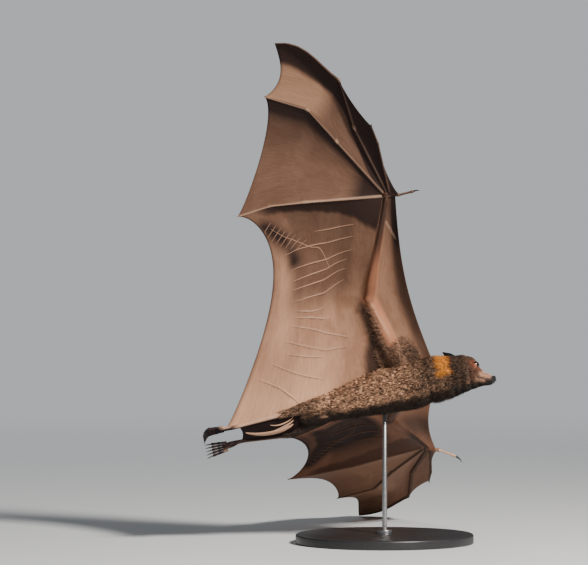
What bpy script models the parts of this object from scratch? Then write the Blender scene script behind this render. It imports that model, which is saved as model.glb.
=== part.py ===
"""A flying fox bat in flight, life size, on a plain stand, as named solids.

Lengths are in millimetres in the bat's own frame: X to the nose, Y to its left side and Z to its
back. place() pitches and banks that frame onto the stand and returns metres with Z up.
"""

import math

import bmesh
import bpy
import numpy as np

for old in list(bpy.data.objects):
    bpy.data.objects.remove(old, do_unlink=True)

PITCH = 10.0
BANK = 45.5
RIDE_HEIGHT = 232.0
GAP = 0.45
WEB = 0.75

# Body sections from rump to nose: station, height of centre, half width, half depth.
SECTIONS = np.array([
    (-151.0, -27.5, 2.0, 2.0),
    (-146.0, -27.0, 9.0, 8.0),
    (-134.0, -25.0, 15.5, 14.0),
    (-117.0, -20.5, 20.5, 19.0),
    (-90.0, -15.0, 25.5, 25.0),
    (-60.0, -10.5, 30.0, 29.0),
    (-30.0, -7.0, 34.0, 33.0),
    (0.0, -5.0, 36.5, 35.0),
    (25.0, -3.0, 36.5, 36.5),
    (50.0, 1.0, 32.5, 33.0),
    (75.0, 1.0, 29.0, 30.0),
    (95.0, 0.5, 26.0, 30.0),
    (106.0, -1.0, 23.0, 27.5),
    (113.0, -4.2, 18.8, 23.4),
    (118.5, -12.3, 13.4, 16.0),
    (124.0, -17.5, 10.5, 11.0),
    (130.0, -20.0, 8.8, 8.5),
    (135.0, -21.3, 6.6, 5.8),
    (138.0, -21.8, 2.5, 2.5),
])
TRUNK_END = 50.0
NECK_END = 76.0

SHOULDER = np.array([5.0, 26.0, 15.0])
# Each bone of the wing: length, sweep from straight out to the side, lift above the body's plane.
HUMERUS = (117.0, -15.2, 20.0)
FOREARM = (163.5, 19.5, 21.8)
THUMB = ((19.0, 78.0, -21.0), (26.0, 64.0, -18.5), (14.0, 60.0, -17.0))
FINGER_2 = ((87.0, 0.5, 15.6), (30.0, -10.5, 15.5))
FINGER_3 = ((115.0, -16.0, 22.5), (82.0, -7.0, 15.8), (106.0, -53.0, 18.0))
FINGER_4 = ((111.0, -33.7, 20.6), (65.0, -31.2, 17.2), (66.0, -66.5, 14.2))
FINGER_5 = ((118.0, -83.0, 0.2), (50.0, -85.8, 1.3), (49.0, -95.4, -6.0))
WINGTIP_BOW = 12.0

HIP = np.array([-112.0, 14.0, -20.0])
KNEE = np.array([-167.0, 23.0, -37.0])
ANKLE = np.array([-245.0, 16.0, -40.5])
SOLE = np.array([-263.0, 18.5, -42.5])
NECK_ROOT = np.array([51.0, 30.0, 17.0])

EYE = np.array([113.0, 13.2, 0.2])
EYE_RADIUS = 6.0
EAR_ROOT = np.array([83.0, 15.5, 16.5])
EAR_TIP = np.array([70.0, 22.0, 30.0])


def turn(axis, degrees):
    """The matrix that turns by degrees about X or Y, as right-handed."""
    c, s = math.cos(math.radians(degrees)), math.sin(math.radians(degrees))
    if axis == "x":
        return np.array([[1, 0, 0], [0, c, -s], [0, s, c]])
    return np.array([[c, 0, s], [0, 1, 0], [-s, 0, c]])


POSE = turn("y", -PITCH) @ turn("x", -BANK)


def place(points):
    """World metres of points in the bat's frame."""
    return (np.asarray(points, float) @ POSE.T + [0, 0, RIDE_HEIGHT]) * 0.001


def unit(vector):
    return vector / np.linalg.norm(vector, axis=-1, keepdims=True)


def step(length, sweep, lift):
    """A bone as a vector, for the left side."""
    a, b = math.radians(sweep), math.radians(lift)
    return length * np.array([math.sin(a) * math.cos(b), math.cos(a) * math.cos(b), math.sin(b)])


def chain(start, bones):
    joints = [np.asarray(start, float)]
    for bone in bones:
        joints.append(joints[-1] + step(*bone))
    return np.array(joints)


def smooth(rows, t):
    """Catmull-Rom through rows at t counted in rows from 0."""
    rows = np.asarray(rows, float)
    padded = np.vstack([2 * rows[0] - rows[1], rows, 2 * rows[-1] - rows[-2]])
    t = np.clip(np.asarray(t, float), 0, len(rows) - 1)
    i = np.minimum(t.astype(int), len(rows) - 2)
    f = (t - i)[:, None]
    a, b, c, d = padded[i], padded[i + 1], padded[i + 2], padded[i + 3]
    slope_in, slope_out = (c - a) / 2, (d - b) / 2
    return ((2 * f**3 - 3 * f**2 + 1) * b + (f**3 - 2 * f**2 + f) * slope_in
            + (3 * f**2 - 2 * f**3) * c + (f**3 - f**2) * slope_out)


def along(line, t):
    """Points at t (0 to 1) of a polyline's length."""
    line = np.asarray(line, float)
    run = np.concatenate([[0], np.cumsum(np.linalg.norm(np.diff(line, axis=0), axis=1))])
    return np.stack([np.interp(np.asarray(t) * run[-1], run, line[:, k]) for k in range(3)], -1)


def clearance(points, line, radii):
    """Distance of each point from a round bone that tapers along a polyline."""
    line = np.asarray(line, float)
    radii = np.broadcast_to(np.asarray(radii, float), len(line))
    a, b = line[:-1], line[1:]
    ab = b - a
    rel = points[..., None, :] - a
    t = np.clip((rel * ab).sum(-1) / (ab * ab).sum(-1), 0, 1)
    size = radii[:-1] + t * (radii[1:] - radii[:-1])
    return (np.linalg.norm(rel - t[..., None] * ab, axis=-1) - size).min(-1)


def add(name, points, faces, colour, rough=0.6, metal=0.0):
    mesh = bpy.data.meshes.new(name)
    mesh.from_pydata([tuple(p) for p in points], [], faces)
    bm = bmesh.new()
    bm.from_mesh(mesh)
    bmesh.ops.recalc_face_normals(bm, faces=bm.faces)
    bm.to_mesh(mesh)
    bm.free()
    mesh.polygons.foreach_set("use_smooth", [True] * len(mesh.polygons))
    obj = bpy.data.objects.new(name, mesh)
    bpy.context.scene.collection.objects.link(obj)
    material = bpy.data.materials.new(name)
    material.use_nodes = True
    shader = material.node_tree.nodes["Principled BSDF"]
    shader.inputs["Base Color"].default_value = (*colour, 1)
    shader.inputs["Roughness"].default_value = rough
    shader.inputs["Metallic"].default_value = metal
    mesh.materials.append(material)
    return obj


def cut(obj, cutter):
    cutter.hide_render = True
    cutter.display_type = "WIRE"
    modifier = obj.modifiers.new("clear of " + cutter.name, "BOOLEAN")
    modifier.object = cutter
    modifier.operation = "DIFFERENCE"
    modifier.solver = "EXACT"


def ringed(rings, first=None, last=None):
    """Points and faces of a closed solid through rings, with an optional pole at each end."""
    count, sides = rings.shape[:2]
    points = rings.reshape(-1, 3)
    faces = []
    for i in range(count - 1):
        for j in range(sides):
            k = (j + 1) % sides
            faces.append((i * sides + j, i * sides + k, (i + 1) * sides + k, (i + 1) * sides + j))
    for pole, start in ((first, 0), (last, (count - 1) * sides)):
        ring = [start + j for j in range(sides)]
        if pole is None:
            faces.append(tuple(ring))
            continue
        points = np.vstack([points, pole])
        faces += [(ring[j], ring[(j + 1) % sides], len(points) - 1) for j in range(sides)]
    return points, faces


def tube(centres, wide, deep, sides, across):
    """Rings about a path; wide runs along the direction across, deep square to it."""
    centres = np.asarray(centres, float)
    tangent = unit(np.gradient(centres, axis=0))
    across = np.broadcast_to(across, centres.shape)
    side = unit(across - (across * tangent).sum(-1, keepdims=True) * tangent)
    top = np.cross(tangent, side)
    turn_by = np.arange(sides) * 2 * np.pi / sides
    wide, deep = np.broadcast_to(wide, len(centres)), np.broadcast_to(deep, len(centres))
    return (centres[:, None] + (wide[:, None] * np.cos(turn_by))[..., None] * side[:, None]
            + (deep[:, None] * np.sin(turn_by))[..., None] * top[:, None])


def rod(centres, wide, deep, sides=8, across=(0, 0, 1), tip=0.6):
    """A tube whose two ends are rounded off by a pole."""
    rings = tube(centres, wide, deep, sides, across)
    start = centres[0] - unit(centres[1] - centres[0]) * np.broadcast_to(wide, len(centres))[0] * tip
    stop = centres[-1] + unit(centres[-1] - centres[-2]) * np.broadcast_to(wide, len(centres))[-1] * tip
    return ringed(rings, start, stop)


def body(first, last, count, sides, grow=0.0):
    """The body's sections between two stations, each an upright ellipse."""
    where = np.interp(np.linspace(first, last, count), SECTIONS[:, 0], np.arange(len(SECTIONS)))
    rows = smooth(SECTIONS, where)
    turn_by = np.arange(sides) * 2 * np.pi / sides
    rings = np.zeros((count, sides, 3))
    rings[..., 0] = rows[:, :1]
    rings[..., 1] = (rows[:, 2:3] + grow) * np.cos(turn_by)
    rings[..., 2] = rows[:, 1:2] + (rows[:, 3:4] + grow) * np.sin(turn_by)
    return rings


def sheet(grid, thick=WEB):
    """Points and faces of a closed sheet about a grid of points."""
    m, n = grid.shape[:2]
    normal = unit(np.cross(np.gradient(grid, axis=0), np.gradient(grid, axis=1)))
    points = np.vstack([(grid + normal * thick / 2).reshape(-1, 3), (grid - normal * thick / 2).reshape(-1, 3)])
    faces = []
    for i in range(m - 1):
        for j in range(n - 1):
            a, b, c, d = i * n + j, (i + 1) * n + j, (i + 1) * n + j + 1, i * n + j + 1
            faces += [(a, b, c, d), (d + m * n, c + m * n, b + m * n, a + m * n)]
    rim = [j for j in range(n)] + [i * n + n - 1 for i in range(1, m)]
    rim += [(m - 1) * n + j for j in range(n - 2, -1, -1)] + [i * n for i in range(m - 2, 0, -1)]
    for a, b in zip(rim, rim[1:] + rim[:1]):
        faces.append((a, b, b + m * n, a + m * n))
    return points, faces


def trimmed(surface, rows, cols, bones):
    """A grid of surface(u, v), drawn in from its edges until it clears each bone.

    bones holds (edge, line, radii), edge being u0, u1, v0 or v1.
    """
    u = np.linspace(0, 1, rows)
    v = np.linspace(0, 1, cols)
    ends = {"u0": np.zeros(cols), "u1": np.ones(cols), "v0": np.zeros(rows), "v1": np.ones(rows)}
    for edge, line, radius in bones:
        across_u = edge[0] == "u"
        others = v if across_u else u
        near = np.full(len(others), float(edge[1]))
        far = np.full(len(others), 0.5)
        for _ in range(16):
            middle = (near + far) / 2
            points = surface(middle, others) if across_u else surface(others, middle)
            clear = clearance(points, line, radius) > GAP
            far = np.where(clear, middle, far)
            near = np.where(clear, near, middle)
        ends[edge] = far
    uu = ends["u0"][None] + (ends["u1"] - ends["u0"])[None] * u[:, None]
    vv = ends["v0"][:, None] + (ends["v1"] - ends["v0"])[:, None] * v[None]
    return surface(uu.ravel(), vv.ravel()).reshape(rows, cols, 3)


def scallop(t, depth, skew=1.0, fullness=0.8):
    """How far a trailing edge draws in, from one tip (0) to the next (1)."""
    return depth * np.sin(np.pi * np.clip(t, 0, 1) ** skew) ** fullness


def mirrored(points, side):
    return points * [1, side, 1]


# Joints of the left wing; the right wing is its mirror image.
ARM = chain(SHOULDER, [HUMERUS, FOREARM])
WRIST = ARM[-1]
LINE_1 = chain(WRIST, THUMB)
LINE_2 = chain(WRIST, FINGER_2)
LINE_3 = chain(WRIST, FINGER_3)
LINE_4 = chain(WRIST, FINGER_4)
LINE_5 = chain(WRIST, FINGER_5)
# The fingers leave the wrist side by side, not from one point.
LINE_2[0] += (5.0, 3.0, 0.0)
LINE_3[0] += (1.2, 4.0, 2.2)
LINE_4[0] += (-3.4, 3.0, 1.5)
LINE_5[0] += (-6.2, -0.5, 0.5)


def bowed(line, bow, count):
    """A finger's joints as a path whose last bone bows outwards like a drawn bow."""
    t = np.linspace(0, 1, count)[1:]
    last = line[-2] + t[:, None] * (line[-1] - line[-2])
    outward = unit(np.array([0.75, 1.0, 0.3]))
    last += (bow * 4 * t * (1 - t) * (1 + 0.8 * (2 * t - 1)))[:, None] * outward
    return np.vstack([line[:-1], last])


BOW_3 = bowed(LINE_3, WINGTIP_BOW, 8)
UPPER_SIZE = ((0, 0.3, 0.65, 1), (13.0, 10.5, 7.5, 5.6))
FORE_SIZE = ((0, 0.12, 0.35, 0.7, 1), (5.0, 6.2, 4.6, 3.0, 3.3))
ARM_LINE = np.vstack([ARM[0] + np.outer(UPPER_SIZE[0], ARM[1] - ARM[0]),
                      ARM[1] + np.outer(FORE_SIZE[0], ARM[2] - ARM[1])[1:]])
ARM_SIZE = np.array(UPPER_SIZE[1] + FORE_SIZE[1][1:]) + 0.3
LEG_LINE = np.array([HIP + 0.1 * (HIP - KNEE), KNEE, KNEE + 0.4 * (ANKLE - KNEE), ANKLE, SOLE])
LEG_SIZE = np.array([11.4, 6.3, 4.6, 3.1, 5.3])
HEEL = ANKLE + 0.8 * (SOLE - ANKLE)
LEG = np.array([SHOULDER, [-40.0, 24.0, 8.0], [-80.0, 18.0, -4.0], HIP, KNEE, ANKLE, HEEL])
SKIN_COLOURS = {"web": (0.16, 0.095, 0.07), "bone": (0.12, 0.075, 0.055)}
FUR = (0.045, 0.032, 0.026)


def arm_surface(u, v):
    """Coons patch: u from the body and leg to the fifth finger, v from the arm to the free edge."""
    u, v = np.broadcast_arrays(u, v)
    a, b = along(ARM, u), along(LINE_5, v)
    c = along([HEEL, LINE_5[-1]], u)
    c[:, 0] += scallop(1 - u, 63.0, 0.8)
    c[:, 2] += scallop(1 - u, 32.0)
    d = along(LEG, v)
    u, v = u[:, None], v[:, None]
    corners = ((1 - u) * (1 - v) * ARM[0] + u * (1 - v) * WRIST
               + (1 - u) * v * HEEL + u * v * LINE_5[-1])
    points = (1 - v) * a + v * c + (1 - u) * d + u * b - corners
    points[:, 2] += 23.0 * (np.sin(np.pi * u**1.25) * np.sin(np.pi * v**0.85))[:, 0]
    return points


def finger_surface(first, second, depth, skew, inward, camber, crest=1.0):
    """A panel: u from one finger to the next, v from the wrist to the free edge."""
    inward = unit(np.asarray(inward, float))

    def surface(u, v):
        u, v = np.broadcast_arrays(u, v)
        points = (1 - u)[:, None] * along(first, v) + u[:, None] * along(second, v)
        points += (v ** 2.5 * scallop(u, depth, skew, 0.7))[:, None] * inward
        points[:, 2] += camber * np.sin(np.pi * u**crest) * np.minimum(1.6 * v, 1)
        return points
    return surface


def front_surface(u, v):
    """The web ahead of the arm: u from neck to wrist, v from the arm to the leading edge."""
    u, v = np.broadcast_arrays(u, v)
    lead = along([NECK_ROOT, WRIST + 0.7 * (LINE_1[1] - WRIST)], u)
    lead[:, 0] -= scallop(u, 11.5, 1.0, 1.0)
    lead[:, 2] -= 6.0 * np.sin(np.pi * u)
    points = (1 - v)[:, None] * along(ARM, u) + v[:, None] * lead
    points[:, 2] += 8.0 * np.sin(np.pi * v**1.5) * np.sin(np.pi * u)
    return points


def thumb_surface(u, v):
    """The small web between thumb and second finger: u from thumb to finger, v out from the wrist."""
    u, v = np.broadcast_arrays(u, v)
    finger = along([LINE_2[0], LINE_2[0] + 0.55 * (LINE_2[1] - LINE_2[0])], v)
    points = (1 - u)[:, None] * along([WRIST, LINE_1[1]], v) + u[:, None] * finger
    points[:, 1] -= v * scallop(u, 7.0, 1.0, 1.0)
    return points


BODY_CUTTER = add("body_clearance", *ringed(place(body(-148.0, 136.0, 48, 28, 0.35))), (1, 0, 0))

trunk = add("trunk", *ringed(place(body(-150.5, TRUNK_END, 19, 22)),
                             place([-152.0, 0, -27.5]), None), FUR, 0.9)
neck = add("neck", *ringed(place(body(TRUNK_END + 0.3, NECK_END, 4, 22))), (0.5, 0.2, 0.05), 0.9)
head = add("head", *ringed(place(body(NECK_END + 0.3, 138.0, 17, 22)), None,
                           place([139.0, 0, -21.9])), (0.09, 0.055, 0.04), 0.85)

# The way that each foot's toes spread, in degrees above straight out to the side.
FOOT_TURN = {"l": -45.0, "r": -12.0}

for side, tag in ((1, "l"), (-1, "r")):
    def put(name, made, colour, rough=0.6):
        points, faces = made
        return add(name + "_" + tag, place(mirrored(points, side)), faces, colour, rough)

    # Eyes in their sockets.
    for name, radius in (("eye", EYE_RADIUS), ("socket", EYE_RADIUS + 0.35)):
        lat = np.radians(np.linspace(-68, 68, 6))
        centres = EYE + np.outer(np.sin(lat) * radius, (0, 1, 0))
        rings = tube(centres, np.cos(lat) * radius, np.cos(lat) * radius, 12, (1, 0, 0))
        made = put(name, ringed(rings, EYE - [0, radius, 0], EYE + [0, radius, 0]), (0.02, 0.01, 0.008), 0.15)
        if name == "socket":
            cut(head, made)

    # Ears: a leaf, cupped forwards.
    t = np.linspace(0.0, 0.96, 8)
    spine = EAR_ROOT + np.outer(t, EAR_TIP - EAR_ROOT)
    width = 8.0 * np.sqrt(np.clip(1 - t**2.2, 0, 1)) * (0.75 + 0.25 * t)
    ear = put("ear", rod(spine, width, 0.9 + 0 * t, 10, (1.0, 0.3, 0.45), 0.3), (0.02, 0.016, 0.015), 0.7)
    cut(ear, BODY_CUTTER)

    # Hind leg.
    t = np.linspace(0, 1, 7)
    thigh = HIP + np.outer(t, KNEE - HIP)
    thigh[-1] -= unit(KNEE - HIP) * 1.0
    size = 10.5 - 4.5 * t
    cut(put("thigh", rod(thigh, size, size, 10, (0, 0, 1), 0.1), FUR, 0.9), BODY_CUTTER)
    way = unit(ANKLE - KNEE)
    t = np.linspace(0, 1, 8)
    shin = KNEE + way * 2.2 + np.outer(t, ANKLE - KNEE - way * 4.6)
    size = np.interp(t, [0, 0.35, 1], [3.6, 4.5, 2.8])
    put("shin", rod(shin, size, size, 8, (0, 0, 1), 0.5), SKIN_COLOURS["bone"])
    t = np.linspace(0, 1, 5)
    splay = np.array([0, np.cos(np.radians(FOOT_TURN[tag])), np.sin(np.radians(FOOT_TURN[tag]))])
    foot = ANKLE + unit(SOLE - ANKLE) * 0.6 + np.outer(t, SOLE - ANKLE)
    put("foot", rod(foot, 2.6 + 2.4 * t, 2.3 + 0.3 * t, 8, splay, 0.25), (0.06, 0.045, 0.04))
    for k in range(5):
        offset = (k - 2) / 2
        root = SOLE + unit(SOLE - ANKLE) * 3.2 + splay * offset * 6.3
        t = np.linspace(0, 1, 7)
        path = root + np.outer(t * 31.0, (-1, 0.05, -0.06)) + np.outer(t, splay) * offset * 3.6
        curl = np.clip(t - 0.5, 0, 1) ** 2 * 30.0
        path += np.outer(curl, (0.25, -0.7, -0.7))
        size = np.interp(t, [0, 0.6, 0.75, 1], [1.6, 1.55, 1.35, 0.45])
        put("toe_%d" % (k + 1), rod(path, size, size, 5, splay, 0.5), (0.03, 0.025, 0.022), 0.5)

    # Arm bones with their muscle.
    way_1, way_2 = unit(ARM[1] - ARM[0]), unit(ARM[2] - ARM[1])
    t = np.linspace(0, 1, 8)
    upper = ARM[0] + np.outer(t * 113.5, way_1)
    size = np.interp(t, *UPPER_SIZE)
    cut(put("upper_arm", rod(upper, size, size, 10, (0, 0, 1), 0.2), FUR, 0.9), BODY_CUTTER)
    t = np.linspace(0, 1, 9)
    fore = ARM[1] + way_2 * 2.8 + np.outer(t * 158.0, way_2)
    size = np.interp(t, *FORE_SIZE)
    put("forearm", rod(fore, size, size, 8, (0, 0, 1), 0.4), SKIN_COLOURS["bone"])

    # Thumb and its claw.
    t = np.linspace(0, 1, 6)
    thumb = along(LINE_1[:3] + unit(LINE_1[1] - LINE_1[0]) * 4.2, t * 0.9)
    size = np.interp(t, [0, 0.4, 0.8, 1], [2.6, 1.7, 1.9, 1.9])
    put("thumb", rod(thumb, size, size, 7, (0, 0, 1), 0.4), SKIN_COLOURS["bone"])
    t = np.linspace(0, 1, 6)
    claw = LINE_1[2] + unit(LINE_1[3] - LINE_1[2]) * 4.0 + np.outer(t * 9.5, unit(LINE_1[3] - LINE_1[2]))
    claw += np.outer(t**2 * 4.0, (-0.4, 0.2, -0.9))
    put("thumb_claw", rod(claw, 1.9 - 1.5 * t, 1.3 - 0.9 * t, 6, (0, 0, 1), 0.4), (0.02, 0.016, 0.014), 0.35)

    # Fingers, each one tube from knuckle to tip, set a little apart where they leave the wrist.
    fingers = (("finger_2", LINE_2, 9, (1.9, 1.3, 1.3, 0.9), 2.5, 6),
               ("finger_3", BOW_3, 18, (2.0, 1.6, 1.3, 0.7), 2.5, 6),
               ("finger_4", LINE_4, 14, (2.0, 1.6, 1.2, 0.6), 2.5, 6),
               ("finger_5", LINE_5, 14, (2.1, 1.7, 1.2, 0.6), 2.5, 6))
    for name, line, count, radii, start, sides in fingers:
        run = np.linalg.norm(np.diff(line, axis=0), axis=1).sum()
        t = np.linspace(start / run, 1, count)
        for joint in (1, 2):
            here = np.linalg.norm(np.diff(line[: joint + 1], axis=0), axis=1).sum() / run
            t[np.abs(t - here).argmin()] = here
        if name == "finger_3":
            rest = np.linalg.norm(np.diff(line[:3], axis=0), axis=1).sum() / run
            t = np.concatenate([t[t < rest], np.linspace(rest, 1, 8)])
        size = np.interp(t, [0, 0.3, 0.7, 1], radii)
        path = along(line, t)
        put(name, rod(path, size, size, sides, (0, 0, 1), 0.3), SKIN_COLOURS["bone"])
    t = np.linspace(0, 1, 5)
    way = unit(LINE_2[-1] - LINE_2[-2])
    claw = LINE_2[-1] + way * 1.0 + np.outer(t * 6.0, way) + np.outer(t**2 * 2.5, (0.5, 0, -0.8))
    put("finger_2_claw", rod(claw, 0.9 - 0.5 * t, 0.9 - 0.5 * t, 6, (0, 0, 1), 0.3), (0.02, 0.016, 0.014), 0.35)

    # Webs of the wing.
    grid = trimmed(arm_surface, 15, 12, (
        ("v0", ARM_LINE, ARM_SIZE), ("u1", LINE_5, 2.1), ("u0", LEG_LINE, LEG_SIZE)))
    cut(put("web_arm", sheet(grid), SKIN_COLOURS["web"]), BODY_CUTTER)
    grid = trimmed(front_surface, 12, 5, (("v0", ARM_LINE, ARM_SIZE), ("u1", LINE_1, 2.9)))
    cut(put("web_front", sheet(grid), SKIN_COLOURS["web"]), BODY_CUTTER)
    panels = (
        ("web_1_2", thumb_surface, 0.55, 5, 4, (("u0", LINE_1, 2.8), ("u1", LINE_2, 2.1))),
        ("web_2_3", finger_surface(LINE_2, LINE_3[:3], 5.0, 1.0, (-0.5, -0.7, -0.2), 1.5), 0.2, 5, 8,
         (("u0", LINE_2, 2.1), ("u1", LINE_3, 2.2))),
        ("web_3_4", finger_surface(BOW_3, LINE_4, 19.0, 1.5, (0.95, -0.3, -0.1), 9.0, 0.75), 0.13, 8, 12,
         (("u0", BOW_3, 2.2), ("u1", LINE_4, 3.2))),
        ("web_4_5", finger_surface(LINE_4, LINE_5, 23.0, 0.95, (0.93, 0.2, 0.1), 15.0), 0.07, 10, 10,
         (("u0", LINE_4, 2.2), ("u1", LINE_5, 2.3))))
    for name, surface, start, rows, cols, bones in panels:
        def outer(u, v, surface=surface, start=start):
            return surface(u, start + (1 - start) * v)
        grid = trimmed(outer, rows, cols, bones)
        put(name, sheet(grid), SKIN_COLOURS["web"])


def tail_surface(u, v):
    """The short web between the legs, hollow at its free edge: u from right leg to left."""
    u, v = np.broadcast_arrays(u, v)
    leg = along([HIP, KNEE, ANKLE], 0.30 + 0.67 * v - 0.03 * v * (1 - (2 * u - 1) ** 2))
    points = leg * np.stack([np.ones_like(u), 2 * u - 1, np.ones_like(u)], -1)
    points[:, 2] -= 5.0 * (1 - (2 * u - 1) ** 2) * np.sin(np.pi * v)
    return points


grid = trimmed(tail_surface, 9, 8, (("u0", LEG_LINE * [1, -1, 1], LEG_SIZE), ("u1", LEG_LINE, LEG_SIZE)))
points, faces = sheet(grid)
cut(add("web_tail", place(points), faces, SKIN_COLOURS["web"]), BODY_CUTTER)

# Stand: a round foot, a low collar and one steel rod up to the breast, each GAP or so apart.
STAND_X, STAND_Y = -22.0, 10.0
FOOT_RADIUS, FOOT_THICK = 130.0, 14.0
COLLAR_RADIUS, COLLAR_TOP = 11.0, 20.0
ROD_RADIUS = 3.5
STAND_GAP = 0.3
ROD_SINK = 6.0


def turned(name, profile, sides, colour, rough, metal=0.0):
    """A solid turned about the stand's axis from (radius, height) pairs, bottom to top."""
    turn_by = np.arange(sides) * 2 * np.pi / sides
    radius, height = np.array(profile).T[:, :, None]
    rings = np.stack([STAND_X + radius * np.cos(turn_by), STAND_Y + radius * np.sin(turn_by),
                      height + 0 * turn_by], -1)
    obj = add(name, *ringed(rings * 0.001), colour, rough, metal)
    for polygon in obj.data.polygons:
        polygon.use_smooth = False
    return obj


turned("stand_base", ((FOOT_RADIUS - 1.5, 0.0), (FOOT_RADIUS, 1.5), (FOOT_RADIUS, FOOT_THICK - 3.0),
                      (FOOT_RADIUS - 3.0, FOOT_THICK)), 36, (0.03, 0.03, 0.032), 0.4)
turned("stand_collar", ((COLLAR_RADIUS, FOOT_THICK + STAND_GAP), (COLLAR_RADIUS, COLLAR_TOP - 1.0),
                        (COLLAR_RADIUS - 1.0, COLLAR_TOP)), 18, (0.55, 0.55, 0.56), 0.3, 1.0)
belly = np.array([v.co for v in BODY_CUTTER.data.vertices]) * 1000
near = np.hypot(belly[:, 0] - STAND_X, belly[:, 1] - STAND_Y) < 14
rod_top = belly[near, 2].min() + ROD_SINK
pole = turned("stand_rod", ((ROD_RADIUS, COLLAR_TOP + STAND_GAP), (ROD_RADIUS, rod_top)), 18,
              (0.55, 0.55, 0.56), 0.3, 1.0)
cut(pole, BODY_CUTTER)
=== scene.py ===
"""The looks of a life-size flying fox bat, banked in flight on a plain display stand.

One skin covers the flesh, the bones and the wing webs. Fur is solid tufts over it. Eyes, claws and
stand are pieces of their own. Lengths are millimetres in the bat's own frame: X to the nose, Y to its
left side, Z to its back. world() turns that frame into the row's metres.
"""

import math

import bpy
import numpy as np
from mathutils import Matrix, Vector

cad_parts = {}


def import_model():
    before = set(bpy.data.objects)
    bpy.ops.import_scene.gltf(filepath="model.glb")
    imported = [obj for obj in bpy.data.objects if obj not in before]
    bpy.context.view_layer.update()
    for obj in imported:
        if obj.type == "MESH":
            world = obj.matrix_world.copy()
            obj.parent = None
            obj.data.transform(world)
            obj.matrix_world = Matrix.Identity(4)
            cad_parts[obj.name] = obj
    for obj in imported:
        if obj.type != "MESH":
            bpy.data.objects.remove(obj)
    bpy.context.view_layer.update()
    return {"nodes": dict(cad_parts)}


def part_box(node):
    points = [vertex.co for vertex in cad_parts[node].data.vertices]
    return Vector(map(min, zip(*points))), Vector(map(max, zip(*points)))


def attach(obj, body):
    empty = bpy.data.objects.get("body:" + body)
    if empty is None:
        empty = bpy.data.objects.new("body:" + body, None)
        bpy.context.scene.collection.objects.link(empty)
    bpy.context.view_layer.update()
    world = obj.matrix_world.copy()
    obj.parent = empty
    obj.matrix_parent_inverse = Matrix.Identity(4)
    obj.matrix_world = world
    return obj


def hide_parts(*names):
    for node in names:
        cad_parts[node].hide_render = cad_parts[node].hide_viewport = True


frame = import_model()
SPARSE = 1.0

PITCH = 10.0
BANK = 45.5
RIDE_HEIGHT = 232.0

# Body sections from rump to nose, out to the hair tips: station, height of centre, half width and depth.
SECTIONS = np.array([
    (-151.0, -27.5, 2.0, 2.0),
    (-146.0, -27.0, 9.0, 8.0),
    (-134.0, -25.0, 15.5, 14.0),
    (-117.0, -20.5, 20.5, 19.0),
    (-90.0, -15.0, 25.5, 25.0),
    (-60.0, -10.5, 30.0, 29.0),
    (-30.0, -7.0, 34.0, 33.0),
    (0.0, -5.0, 36.5, 35.0),
    (25.0, -3.0, 36.5, 36.5),
    (50.0, 1.0, 32.5, 33.0),
    (75.0, 1.0, 29.0, 30.0),
    (95.0, 0.5, 26.0, 30.0),
    (106.0, -1.0, 23.0, 27.5),
    (113.0, -4.2, 18.8, 23.4),
    (118.5, -12.3, 13.4, 16.0),
    (124.0, -17.5, 10.5, 11.0),
    (130.0, -20.0, 8.8, 8.5),
    (135.0, -21.3, 6.6, 5.8),
    (138.0, -21.8, 2.5, 2.5),
])
# How deep the coat stands over the skin, from rump to nose.
COAT_AT = (-151.0, -140.0, -120.0, -60.0, 40.0, 76.0, 92.0, 104.0, 112.0, 119.0, 126.0, 138.0)
COAT_DEPTH = (1.2, 3.0, 6.0, 7.0, 7.5, 8.0, 7.8, 6.0, 3.4, 1.6, 0.7, 0.3)

SHOULDER = np.array([5.0, 26.0, 15.0])
# Each bone of the wing: length, sweep from straight out to the side, lift above the body's plane.
HUMERUS = (117.0, -15.2, 20.0)
FOREARM = (163.5, 19.5, 21.8)
THUMB = ((19.0, 78.0, -21.0), (26.0, 64.0, -18.5), (14.0, 60.0, -17.0))
FINGER_2 = ((87.0, 0.5, 15.6), (30.0, -10.5, 15.5))
FINGER_3 = ((115.0, -16.0, 22.5), (82.0, -7.0, 15.8), (106.0, -53.0, 18.0))
FINGER_4 = ((111.0, -33.7, 20.6), (65.0, -31.2, 17.2), (66.0, -66.5, 14.2))
FINGER_5 = ((118.0, -83.0, 0.2), (50.0, -85.8, 1.3), (49.0, -95.4, -6.0))
WINGTIP_BOW = 12.0

HIP = np.array([-112.0, 14.0, -20.0])
KNEE = np.array([-167.0, 23.0, -37.0])
ANKLE = np.array([-245.0, 16.0, -40.5])
SOLE = np.array([-263.0, 18.5, -42.5])
NECK_ROOT = np.array([51.0, 30.0, 17.0])
TOE_LENGTH = 31.0
GROIN = np.array([-111.0, -2.7, -36.0])

EYE = np.array([113.0, 13.2, 0.2])
EYE_RADIUS = 6.0
EYE_AXIS = np.array([0.30, 0.94, 0.16])
# Half the opening between the lids: along it, above its middle line and below.
EYE_OPENING = (4.9, 3.5, 3.3)
EAR_ROOT = np.array([83.0, 15.5, 16.5])
EAR_TIP = np.array([70.0, 22.0, 30.0])
NOSTRIL = np.array([137.0, 2.6, -19.9])

WEB = 0.75

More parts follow.
